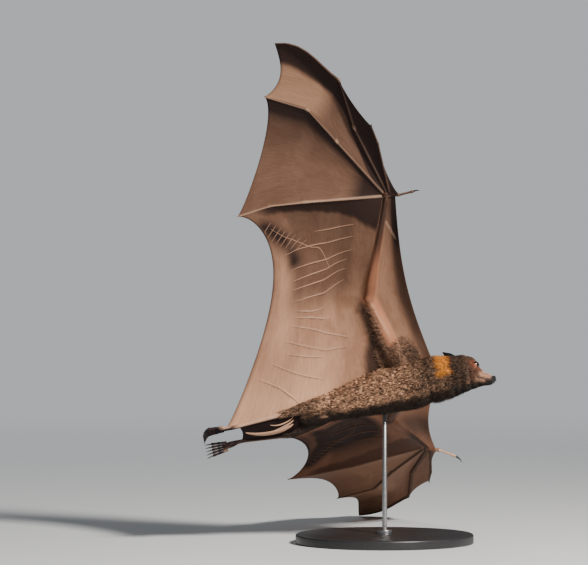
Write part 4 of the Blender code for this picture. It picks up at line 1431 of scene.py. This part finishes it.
def make_coat_group():
    """Group: hair colour from root to tip, with the collar, face and lips of the markings."""
    tree, given, made = group(
        "coat colours",
        [("Root", "Color", HAIR_ROOT), ("Dark", "Color", HAIR_DARK), ("Tip", "Color", HAIR_TIP),
         ("Grizzle", "Float", 0.5)],
        [("Colour", "Color"), ("Roughness", "Float")])
    _, (along_hair, chance, other) = carried(tree, "strand")
    _, (collar, on_face, muzzle) = carried(tree, "marks")
    _, (red, black, belly) = carried(tree, "face_marks")
    place = node(tree, "TexCoord").outputs["Object"]
    # Pale tips come in streaks and clumps.
    streaks = noise(tree, place, 560.0, 2.0, 0.6, 0.3, (0.42, 1.0, 1.0))
    clumps = noise(tree, place, 150.0, 2.0, 0.5)
    swing = add(tree, about_zero(tree, streaks, 3.4), about_zero(tree, clumps, 0.7))
    ends = band(tree, add(tree, multiply(tree, chance, 0.6), swing), -0.22, 0.80)
    ends = multiply(tree, ends, given["Grizzle"])
    other = add(tree, multiply(tree, other, 0.6), band(tree, streaks, 0.34, 0.62, 0.4, 0.0))
    tip = blend(tree, ends, given["Dark"], given["Tip"])
    tip = blend(tree, on_face, tip, blend(tree, other, HAIR_FACE, HAIR_DARK))
    tip = blend(tree, muzzle, tip, blend(tree, other, HAIR_MUZZLE, HAIR_FACE))
    # The belly's dark: partly dark fur, partly painted shade.
    tip = blend(tree, multiply(tree, belly, 0.95), tip, HAIR_BELLY_AND_SHADE)
    tip = blend(tree, red, tip, HAIR_RED)
    # The collar has a ragged edge, and rust among its orange.
    edge = band(tree, add(tree, collar, about_zero(tree, other, 0.8)), 0.40, 0.62)
    rust = maths(tree, "MAXIMUM", multiply(tree, band(tree, collar, 1.0, 0.45), 0.8),
                 multiply(tree, band(tree, chance, 0.45, 1.0), 0.75))
    tip = blend(tree, edge, tip, blend(tree, rust, HAIR_ORANGE, HAIR_RUST))
    tip = blend(tree, black, tip, NOSE_BLACK)
    root = blend(tree, multiply(tree, edge, 0.85), given["Root"], HAIR_COLLAR_ROOT)
    feed(tree, made, Colour=blend(tree, band(tree, along_hair, 0.0, 0.62), root, tip),
         Roughness=band(tree, other, 0, 1, 0.55, 0.75))
    return tree


def make_hair(name, coat_group, grizzle, tip=HAIR_TIP, dark=HAIR_DARK, root=HAIR_ROOT):
    made, tree, shader = finish(name)
    hair = use(tree, coat_group, Grizzle=grizzle, Tip=tip, Dark=dark, Root=root)
    feed(tree, shader, Base_Color=hair["Colour"], Roughness=hair["Roughness"],
         Specular_IOR_Level=0.35, Sheen_Weight=0.05, Sheen_Roughness=0.4)
    return made


def make_skin_material(creases):
    """Thin brown web, pale along bone and muscle, under the masks that the skin carries."""
    made, tree, shader = finish("bare and wing skin")
    lay, (_, _, panel) = carried(tree, "lay")
    _, (bone, arm, pale) = carried(tree, "tint")
    _, (dark, foot, inner_leg) = carried(tree, "tone")
    _, (_, on_face, muzzle) = carried(tree, "marks")
    _, (red, black, _) = carried(tree, "face_marks")
    fine = use(tree, creases, Lay=lay)
    colour = blend(tree, band(tree, fine["Mottle"], 0.0, 1.0, 0.24, 0.52), WEB_BROWN, WEB_TAN)
    # Pale web: mostly painted light.
    colour = blend(tree, multiply(tree, pale, 0.75), colour, WEB_PALE)
    colour = blend(tree, multiply(tree, fine["Tone"], 0.22), colour, WEB_DARK)
    # Muscle tan, on the far wing painted light through the web.
    colour = blend(tree, multiply(tree, arm, 0.75), colour, MUSCLE_TAN)
    # Dark: mostly painted shade.
    colour = blend(tree, dark, colour, WEB_DARK)
    # Pale bones and strips, partly a painted highlight.
    colour = blend(tree, multiply(tree, bone, 0.75), colour, BONE_SKIN)
    flesh = blend(tree, on_face, HAIR_DARK, FACE_BROWN)
    flesh = blend(tree, muzzle, flesh, MUZZLE_SKIN)
    flesh = blend(tree, red, flesh, HAIR_RED)
    colour = blend(tree, band(tree, panel, 4.4, 4.6), colour, flesh)
    sole = blend(tree, band(tree, fine["Tone"], 0.5, 1.0, 0.0, 0.35), FOOT_DARK, FLESH_PINK)
    # The inner sides of the legs and the web between them take painted shade.
    shin = blend(tree, inner_leg, blend(tree, fine["Mottle"], WEB_TAN, BONE_SKIN), WEB_DARK)
    on_leg = multiply(tree, band(tree, panel, 5.4, 5.6), band(tree, panel, 6.6, 6.4))
    colour = blend(tree, on_leg, colour, blend(tree, foot, shin, sole))
    colour = blend(tree, band(tree, panel, 6.5, 6.9), colour, EAR_BLACK)
    colour = blend(tree, black, colour, NOSE_BLACK)
    rough = add(tree, 0.50, multiply(tree, fine["Mottle"], 0.14))
    rough = maths(tree, "SUBTRACT", rough, multiply(tree, bone, 0.12))
    rough = maths(tree, "SUBTRACT", rough, multiply(tree, black, 0.12))
    gloss = maths(tree, "MAXIMUM", multiply(tree, bone, 0.30), multiply(tree, black, 0.5))
    feed(tree, shader, Base_Color=colour, Roughness=rough, Specular_IOR_Level=0.10, Coat_Weight=gloss,
         Coat_Roughness=0.3, Normal=bump(tree, fine["Height"], 0.55, 0.0006))
    return made


def make_eye_material():
    """Dark amber round a black pupil under a wet surface; the mesh carries the angle from its axis."""
    made, tree, shader = finish("eye")
    lay, (polar, _, _) = carried(tree, "lay")
    fibres = noise(tree, lay, 1.0, 3.0, 0.6, 0.2, (2.0, 24.0, 1.0))
    colour = blend(tree, band(tree, polar, 0.30, 0.34), PUPIL, blend(tree, fibres, *IRIS))
    colour = blend(tree, band(tree, polar, 0.72, 0.80), colour, EYE_RIM)
    feed(tree, shader, Base_Color=colour, Roughness=0.12, Coat_Weight=1.0, Coat_Roughness=0.02)
    return made


def make_claw_material():
    made, tree, shader = finish("claw horn")
    lay, _ = carried(tree, "lay")
    grain = noise(tree, lay, 1.0, 3.0, 0.6, 0.0, (0.25, 2.5, 1.0))
    feed(tree, shader, Base_Color=blend(tree, grain, *HORN), Specular_IOR_Level=0.3,
         Roughness=band(tree, grain, 0.2, 0.8, 0.26, 0.42), Normal=bump(tree, grain, 0.3, 0.0002))
    return made


def make_base_material():
    """Satin black lacquer over fine board: faint speckle and soft rub marks."""
    made, tree, shader = finish("satin black lacquer")
    place = node(tree, "TexCoord").outputs["Object"]
    speckle = noise(tree, place, 900.0, 2.0, 0.6)
    rub = noise(tree, place, 14.0, 4.0, 0.6, 0.5)
    feed(tree, shader, Base_Color=blend(tree, band(tree, speckle, 0.35, 0.75), *LACQUER),
         Roughness=band(tree, rub, 0.3, 0.7, 0.32, 0.46), Normal=bump(tree, speckle, 0.12, 0.0002))
    return made


def make_rod_material():
    """Brushed steel, its brushing running round the rod."""
    made, tree, shader = finish("brushed steel")
    place = node(tree, "TexCoord").outputs["Object"]
    brush = noise(tree, place, 1.0, 3.0, 0.7, 0.0, (60.0, 60.0, 2600.0))
    feed(tree, shader, Base_Color=blend(tree, brush, *STEEL), Metallic=1.0,
         Roughness=band(tree, brush, 0.2, 0.8, 0.24, 0.40), Normal=bump(tree, brush, 0.15, 0.0001))
    return made


# ---------------------------------------------------------------- skin, eyes and claws

coat_group = make_coat_group()
hair_body = make_hair("body hair", coat_group, 1.0)
hair_head = make_hair("head hair", coat_group, 0.46)
hair_arm = make_hair("arm hair", coat_group, 0.55, *HAIR_ARM)
head_rings = build_head()
skin = build_skin(head_rings)
skin.data.materials.clear()
place_piece(skin, make_skin_material(make_creases()), FLESH)


def add_eye(side, tag, material):
    """An eyeball: a sphere whose front bulges a little as the cornea."""
    axis = unit(turned(EYE_AXIS, side))
    one = unit(np.cross(axis, [0, 0, 1.0]))
    two = np.cross(axis, one)
    polar = np.linspace(0.03, math.pi - 0.03, 44)
    angle = circle(56)
    c, s = np.cos(angle), np.sin(angle)
    radius = EYE_RADIUS - 0.35 + 0.45 * bell(polar, 0.55)
    round_axis = c[None, :, None] * one + s[None, :, None] * two
    rings = turned(EYE, side) + radius[:, None, None] * (
        np.cos(polar)[:, None, None] * axis + np.sin(polar)[:, None, None] * round_axis)
    lay = np.stack(np.broadcast_arrays(polar[:, None], c, s), -1)
    ball = closed_rings(rings, rings[0].mean(0), rings[-1].mean(0), lay)
    points, faces, corner_lay = ball
    eye = make_mesh("eyeball_" + tag, world(points), faces, lay=corner_lay.reshape(-1, 3))
    place_piece(eye, material, ["eye_" + tag])


def add_claws(name, parts, tag, nodes, material):
    points, faces, lay = mirror(join(parts)) if tag == "r" else join(parts)
    claws = make_mesh(name + "_" + tag, world(points), faces, lay=lay.reshape(-1, 3))
    place_piece(claws, material, [n + "_" + tag for n in nodes])


eye_material = make_eye_material()
for side, tag in SIDES:
    add_eye(side, tag, eye_material)
claw_horn = make_claw_material()
toes = ["toe_%d" % k for k in range(1, 6)]
for side, tag in SIDES:
    add_claws("toe_claws", [build_toe_claw(k, side) for k in range(5)], tag, toes, claw_horn)
    add_claws("hooked_thumb_claw", [build_thumb_claw()], tag, ["thumb_claw"], claw_horn)
    add_claws("small_finger_claw", [build_finger_claw()], tag, ["finger_2_claw"], claw_horn)


# ---------------------------------------------------------------- lay the coat

BACKWARD = np.array([-1.0, 0, 0])
# How many tufts each quarter of the trunk, half of the collar, back of the head and face has.
TRUNK_TUFTS, COLLAR_TUFTS, HEAD_TUFTS, FACE_TUFTS = 24500, 13500, 26000, 27000
# Behind and ahead of the arm on each face; beside the flank above and below; on each thigh.
HIND_TUFTS, FORE_TUFTS, TOP_TUFTS, UNDER_TUFTS, THIGH_TUFTS = 3800, 3200, 4500, 4800, 6000
# A coat's weight is never quite nothing, so that some place can always be picked.
LEAST = 1e-7


def body_lie(points):
    """Hair runs back along the body, a little down its sides, and wanders."""
    return BACKWARD + [0.0, 0.0, -0.25] + 0.42 * drift(points, 9.0)


def count_of(number):
    return int(number * SPARSE)


def coat_trunk():
    """Four strips round the trunk, from the rump to the neck."""
    quarter = math.pi / 2
    for k, name in enumerate(("flank_l", "back", "flank_r", "belly")):
        angles = np.linspace((k - 0.5) * quarter, (k + 0.5) * quarter, 60)
        sown = sow(body_rings(52.0, -149.0, 90, angles, coat), count_of(TRUNK_TUFTS), 11 + k)
        roots = sown[0]
        long = np.interp(roots[:, 0], (-150, -130, -60, 50), (7.0, 10.0, 12.5, 13.0))
        tufts("fur_" + name, sown, body_lie(roots), long, 0.95, 34.0, 31 + k,
              ["trunk"], hair_body)


def ventral(sown):
    """How far each tuft is on the breast's side, where the coat hangs longer."""
    return ramp(0.64 * sown[1][:, 1] - 0.77 * sown[1][:, 2], 0.3, 0.9)


def coat_neck():
    """The collar, an upper and a lower half."""
    for k, name in enumerate(("upper", "lower")):
        angles = np.linspace(k * math.pi, (k + 1) * math.pi, 90)
        sown = sow(body_rings(80.0, 48.0, 40, angles, coat), count_of(COLLAR_TUFTS), 21 + k)
        roots = sown[0]
        lie = body_lie(roots) + 0.25 * drift(roots, 5.0)
        ruff = ventral(sown) * ramp(roots[:, 0], 46, 64)
        tufts("fur_collar_" + name, sown, lie, 13.0 + 4.0 * ruff, 0.85, 42.0 + 12.0 * ruff, 41 + k,
              ["neck"], hair_body)


def back_of_head(middle):
    """Where the longer hair of the head grows: from the collar to the cheeks."""
    return ramp(middle[..., 0], 74, 78) * ramp(middle[..., 0], 106, 100)


def front_of_head(middle):
    """Where the face's hair grows: it leaves the eyes, the nose and the lips bare."""
    x = middle[..., 0]
    clear = np.ones(x.shape)
    for side, _ in SIDES:
        off = middle - turned(EYE, side)
        out = off @ unit(turned(EYE_AXIS, side))
        gap = np.sqrt(np.maximum((off ** 2).sum(-1) - out**2, 0))
        clear = clear * np.maximum(ramp(gap, 4.9, 5.8), ramp(out, 2.0, 0.0))
    mouth = np.interp(x, MOUTH_AT, MOUTH_HEIGHT)
    lips = 1 - bell(middle[..., 2] - mouth, 0.9) * ramp(x, 110, 114)
    return ramp(x, 98, 104) * ramp(x, 134.5, 131) * clear * lips


def coat_head():
    """The back of the head, then the face, where hair is shortest and combed away from the eyes."""
    grid = np.concatenate([head_rings, head_rings[:, :1]], 1)[::-1]
    sown = sow(grid, count_of(HEAD_TUFTS), 51, back_of_head)
    roots = sown[0]
    long = np.interp(roots[:, 0], (76, 90, 104), (12.5, 12.0, 9.5))
    long = long + 4.0 * ventral(sown) * ramp(roots[:, 0], 106, 84)
    tufts("fur_head_back", sown, body_lie(roots), long, 0.78, 42.0, 61,
          ["head"], hair_head)
    sown = sow(grid, count_of(FACE_TUFTS), 52, front_of_head)
    roots = sown[0]
    long = np.interp(roots[:, 0], (100, 108, 114, 122, 134), (9.0, 7.5, 4.6, 2.6, 1.6))
    wide = np.interp(roots[:, 0], (100, 114, 134), (0.65, 0.42, 0.32))
    stand = np.interp(roots[:, 0], (100, 112, 122), (42.0, 34.0, 20.0))
    away = roots - turned(EYE, side_of(roots[:, 1]))
    gap = np.linalg.norm(away, axis=-1, keepdims=True)
    long = long * np.interp(gap[:, 0], (6.5, 11), (0.45, 1.0))
    lie = BACKWARD + 0.2 * drift(roots, 5.0) + 1.8 * away / gap * bell(gap - 6.0, 5.0)
    tufts("fur_face", sown, lie, long, wide, stand, 62, ["head"], hair_head)


def web_face(surface, us, vs, side, top):
    """A grid on the upper or under face of a wing surface, ordered so that it faces out."""
    uu, vv = np.meshgrid(us, vs, indexing="ij")
    middle = surface(uu.ravel(), vv.ravel())
    height = half_thickness(middle).reshape(uu.shape)
    middle = middle.reshape(*uu.shape, 3)
    normal = unit(np.cross(np.gradient(middle, axis=0), np.gradient(middle, axis=1)))
    if normal[..., 2].mean() < 0:
        normal = -normal
    outward = 1 if top else -1
    grid = turned(middle + outward * normal * height[..., None] * 0.9, side)
    a, b = grid[1, 0] - grid[0, 0], grid[0, 1] - grid[0, 0]
    return grid if np.cross(a, b)[2] * outward > 0 else grid[::-1]


def flank_edge(x, top):
    """How far out from the middle the flank's hair covers the web: less below than above."""
    if top:
        return np.interp(x, (-160, -135, -110, -80, -50, 0, 30), (13, 20, 25, 25, 27, 31, 33))
    return np.interp(x, (-175, -150, -120, -90, -55, 0, 30), (11, 12, 13, 14, 16, 22, 27))


def coat_upper_arm(side, tag, top):
    """Hair on one face of the upper arm and the web beside it, thickest ahead of the shoulder."""
    def near_arm(middle):
        left = turned(middle.reshape(-1, 3), side)
        gap, t = nearest(left, ARM[:2])
        ahead = left[:, 0] - np.interp(t, (0, 1), ARM[:2, 0])
        shoulder = ramp(t, 0.36, 0.03) * ramp(gap, 40.0, 8.0) * ramp(ahead, -24.0, -9.0)
        hind = 0.35 * ramp(gap, 19.0 - 8.0 * t, 4.0) * ramp(t, 1.0, 0.55) * ramp(ahead, 5.0, -4.0)
        return np.maximum(hind, 1.6 * shoulder).reshape(middle.shape[:2]) + LEAST

    us = np.linspace(0, 0.5, 60)
    hind = web_face(arm_surface, us, np.linspace(0, 0.35, 50), side, top)
    fore = web_face(front_surface, us, np.linspace(0, 0.9, 30), side, top)
    both = [sow(hind, count_of(HIND_TUFTS), 71, near_arm), sow(fore, count_of(FORE_TUFTS), 72, near_arm)]
    # Each takes its own half of the bake map.
    shifted = [(p, n, q * [0.5, 1] + [0.5 * k, 0]) for k, (p, n, q) in enumerate(both)]
    sown = tuple(np.concatenate(rows) for rows in zip(*shifted))
    lie = 0.35 * unit(turned(ARM[1] - ARM[0], side)) + BACKWARD + 0.25 * drift(sown[0], 8.0)
    gap, _ = nearest(turned(sown[0], side), ARM[:2])
    long = np.interp(gap, (0, 12, 34), (13.0, 12.0, 8.0))
    name = "fur_arm_%s_%s" % ("upper" if top else "under", tag)
    tufts(name, sown, lie, long, 0.58, 15.0, 73, ["upper_arm_" + tag], hair_arm)


def coat_flank_web(side, tag, top):
    """Hair on one face of the web beside the flank, thinning out over the web."""
    def near_flank(middle):
        x, y = middle[..., 0], np.abs(middle[..., 1])
        edge = flank_edge(x, top)
        return ramp(y, edge + 9, edge) * ramp(y, edge - 20, edge - 15) + LEAST

    grid = web_face(arm_surface, np.linspace(0, 0.3, 50), np.linspace(0, 0.8, 110), side, top)
    sown = sow(grid, count_of(TOP_TUFTS if top else UNDER_TUFTS), 74, near_flank)
    roots = sown[0]
    lie = np.array([-1.0, 0.35 * side, 0]) + 0.25 * drift(roots, 8.0)
    past_edge = np.abs(roots[:, 1]) - flank_edge(roots[:, 0], top)
    long = np.interp(past_edge, (-12, 0, 9), (9.0, 6.5, 4.0))
    name = "fur_flank_web_%s_%s" % ("upper" if top else "under", tag)
    tufts(name, sown, lie, long, 0.9, 24.0, 75, ["web_arm_" + tag], hair_body)


def coat_thigh(side, tag):
    """Short hair on a thigh, fading out at the knee and under the trunk's own coat."""
    def fade(middle):
        return ramp(middle[..., 0], -192, -150) * ramp(middle[..., 0], -98, -108) + LEAST

    path, joints = leg_path()
    t = np.linspace(0.0, joints[1] + 0.08, 40)
    size = np.interp(t, [0, 0.5 * joints[1], joints[1], joints[1] + 0.1], [9.0, 7.5, 4.4, 4.2])
    rings = turned(tube(along(path, t), size, size, 33, splay(1)), side)
    rings = np.concatenate([rings, rings[:, :1]], 1)
    normal = np.cross(rings[20, 9] - rings[20, 8], rings[21, 8] - rings[20, 8])
    if normal @ (rings[20, 8] - rings[20].mean(0)) > 0:
        rings = rings[:, ::-1]
    sown = sow(rings, count_of(THIGH_TUFTS), 81, fade)
    lie = unit(turned(KNEE - HIP, side)) + 0.25 * drift(sown[0], 7.0)
    long = np.interp(sown[0][:, 0], (-190, -150, -110), (3.5, 6.5, 9.0))
    tufts("fur_thigh_" + tag, sown, lie, long, 0.7, 26.0, 82, ["thigh_" + tag], hair_body)


coat_trunk()
coat_neck()
coat_head()
for side, tag in SIDES:
    for top in (True, False):
        coat_upper_arm(side, tag, top)
        coat_flank_web(side, tag, top)
for side, tag in SIDES:
    coat_thigh(side, tag)


# ---------------------------------------------------------------- stand

def add_turned(name, profile, sides, nodes, material):
    """A solid turned about the stand's own axis, from (radius, height) pairs in metres, bottom up."""
    low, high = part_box("stand_base")
    centre = (low + high) / 2
    radius, height = np.array(profile).T[:, :, None]
    angle = circle(sides)
    rings = np.stack([centre.x + radius * np.cos(angle), centre.y + radius * np.sin(angle),
                      height + 0 * angle], -1)
    ends = rings.mean(1)
    points, faces, _ = closed_rings(rings, ends[0], ends[-1])
    piece = make_mesh(name, points, faces)
    piece.data.set_sharp_from_angle(angle=math.radians(40))
    place_piece(piece, material, nodes)


def rounded(radius, height, edge, count=7):
    """A quarter round that turns a side into a top: (radius, height) pairs."""
    angle = np.linspace(0, np.pi / 2, count)
    return list(zip(radius - edge + edge * np.cos(angle), height - edge + edge * np.sin(angle)))


def radius_and_top(name):
    """How wide a round part of the stand is, from its axis, and how high it reaches."""
    low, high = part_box(name)
    return (high.x - low.x) / 2, high.z


foot_radius, foot_top = radius_and_top("stand_base")
collar_radius, collar_top = radius_and_top("stand_collar")
rod_radius, rod_top = radius_and_top("stand_rod")
foot_profile = [(foot_radius - 0.0015, 0.0), (foot_radius, 0.0015),
                *rounded(foot_radius, foot_top, 0.003)]
collar_profile = [(collar_radius, foot_top - 0.0002), *rounded(collar_radius, collar_top, 0.0012)]
rod_profile = [(rod_radius, collar_top - 0.001), (rod_radius, rod_top - 0.001),
               (rod_radius - 0.0006, rod_top)]
add_turned("display_foot", foot_profile, 160, ["stand_base"], make_base_material())
steel = make_rod_material()
add_turned("display_collar", collar_profile, 64, ["stand_collar"], steel)
add_turned("display_rod", rod_profile, 48, ["stand_rod"], steel)


# ---------------------------------------------------------------- stage, light and camera

FLOOR_RADIUS = 14.0
# Where the floor begins to fade into the plain room, and where it is gone.
FLOOR_FADE = (0.7, 3.4)
ROOM_LIGHT = 0.09
ROOM_SEEN = 0.52


def add_stage():
    """A round pale floor that fades into the plain room, the same from every side."""
    count = 96
    angle = circle(count)
    rim = np.stack([np.cos(angle), np.sin(angle), 0 * angle], -1) * FLOOR_RADIUS
    first = np.arange(count)
    faces = np.stack([first, (first + 1) % count, np.full(count, count)], -1)
    stage = make_mesh("pale_floor", np.vstack([rim, [[0, 0, 0]]]), faces)
    made, tree, shader = finish("pale paper")
    place = node(tree, "TexCoord").outputs["Object"]
    grain = noise(tree, place, 3.0, 2.0, 0.5)
    away = node(tree, "VectorMath", {"operation": "LENGTH"}, i0=place).outputs["Value"]
    feed(tree, shader, Base_Color=blend(tree, grain, *PAPER), Roughness=0.9, Specular_IOR_Level=0.1,
         Alpha=band(tree, away, *FLOOR_FADE, 1.0, 0.0))
    stage.data.materials.append(made)


def add_room():
    """A plain pale room all round; it looks brighter than the soft light that it gives."""
    room = bpy.data.worlds.new("soft room")
    room.use_nodes = True
    tree = room.node_tree
    seen = node(tree, "LightPath").outputs["Is Camera Ray"]
    feed(tree, tree.nodes["Background"], Color=ROOM_COLOUR,
         Strength=band(tree, seen, 0.0, 1.0, ROOM_LIGHT, ROOM_SEEN))
    bpy.context.scene.world = room


CAMERA_RANGE = 8.0
CAMERA_LIFT = 2.0
TARGET = Vector((-0.1542, 0.0, 0.3811))
VIEW_WIDTH = 0.8555
SENSOR = 36.0


def add_camera():
    lens = bpy.data.cameras.new("camera")
    lens.sensor_width = SENSOR
    lens.lens = SENSOR * CAMERA_RANGE / VIEW_WIDTH
    lens.clip_end = 60
    camera = bpy.data.objects.new("camera", lens)
    bpy.context.scene.collection.objects.link(camera)
    lift = math.radians(CAMERA_LIFT)
    forward = Vector((0, math.cos(lift), -math.sin(lift)))
    camera.location = TARGET - forward * CAMERA_RANGE
    camera.rotation_euler = forward.to_track_quat("-Z", "Y").to_euler()
    bpy.context.scene.camera = camera


def add_light(name, toward, distance, size, watts, colour=(1, 1, 1)):
    """A soft square light on the side that toward points to, aimed at the bat."""
    lamp = bpy.data.lights.new(name, "AREA")
    lamp.size = size
    lamp.energy = watts
    lamp.color = colour
    obj = bpy.data.objects.new(name, lamp)
    bpy.context.scene.collection.objects.link(obj)
    toward = Vector(toward).normalized()
    obj.location = Vector((-0.1, 0, 0.35)) + toward * distance
    obj.rotation_euler = toward.to_track_quat("Z", "Y").to_euler()


add_stage()
add_camera()
add_light("key", (0.50, -0.68, 0.54), 3.2, 0.45, 230, (1.0, 0.95, 0.88))
add_light("fill", (-0.8, -1.0, 0.25), 3.5, 2.5, 2, (0.95, 0.97, 1.0))
add_light("rim", (-0.3, 0.9, 0.8), 3.0, 1.0, 16, (0.95, 0.98, 1.0))
add_room()
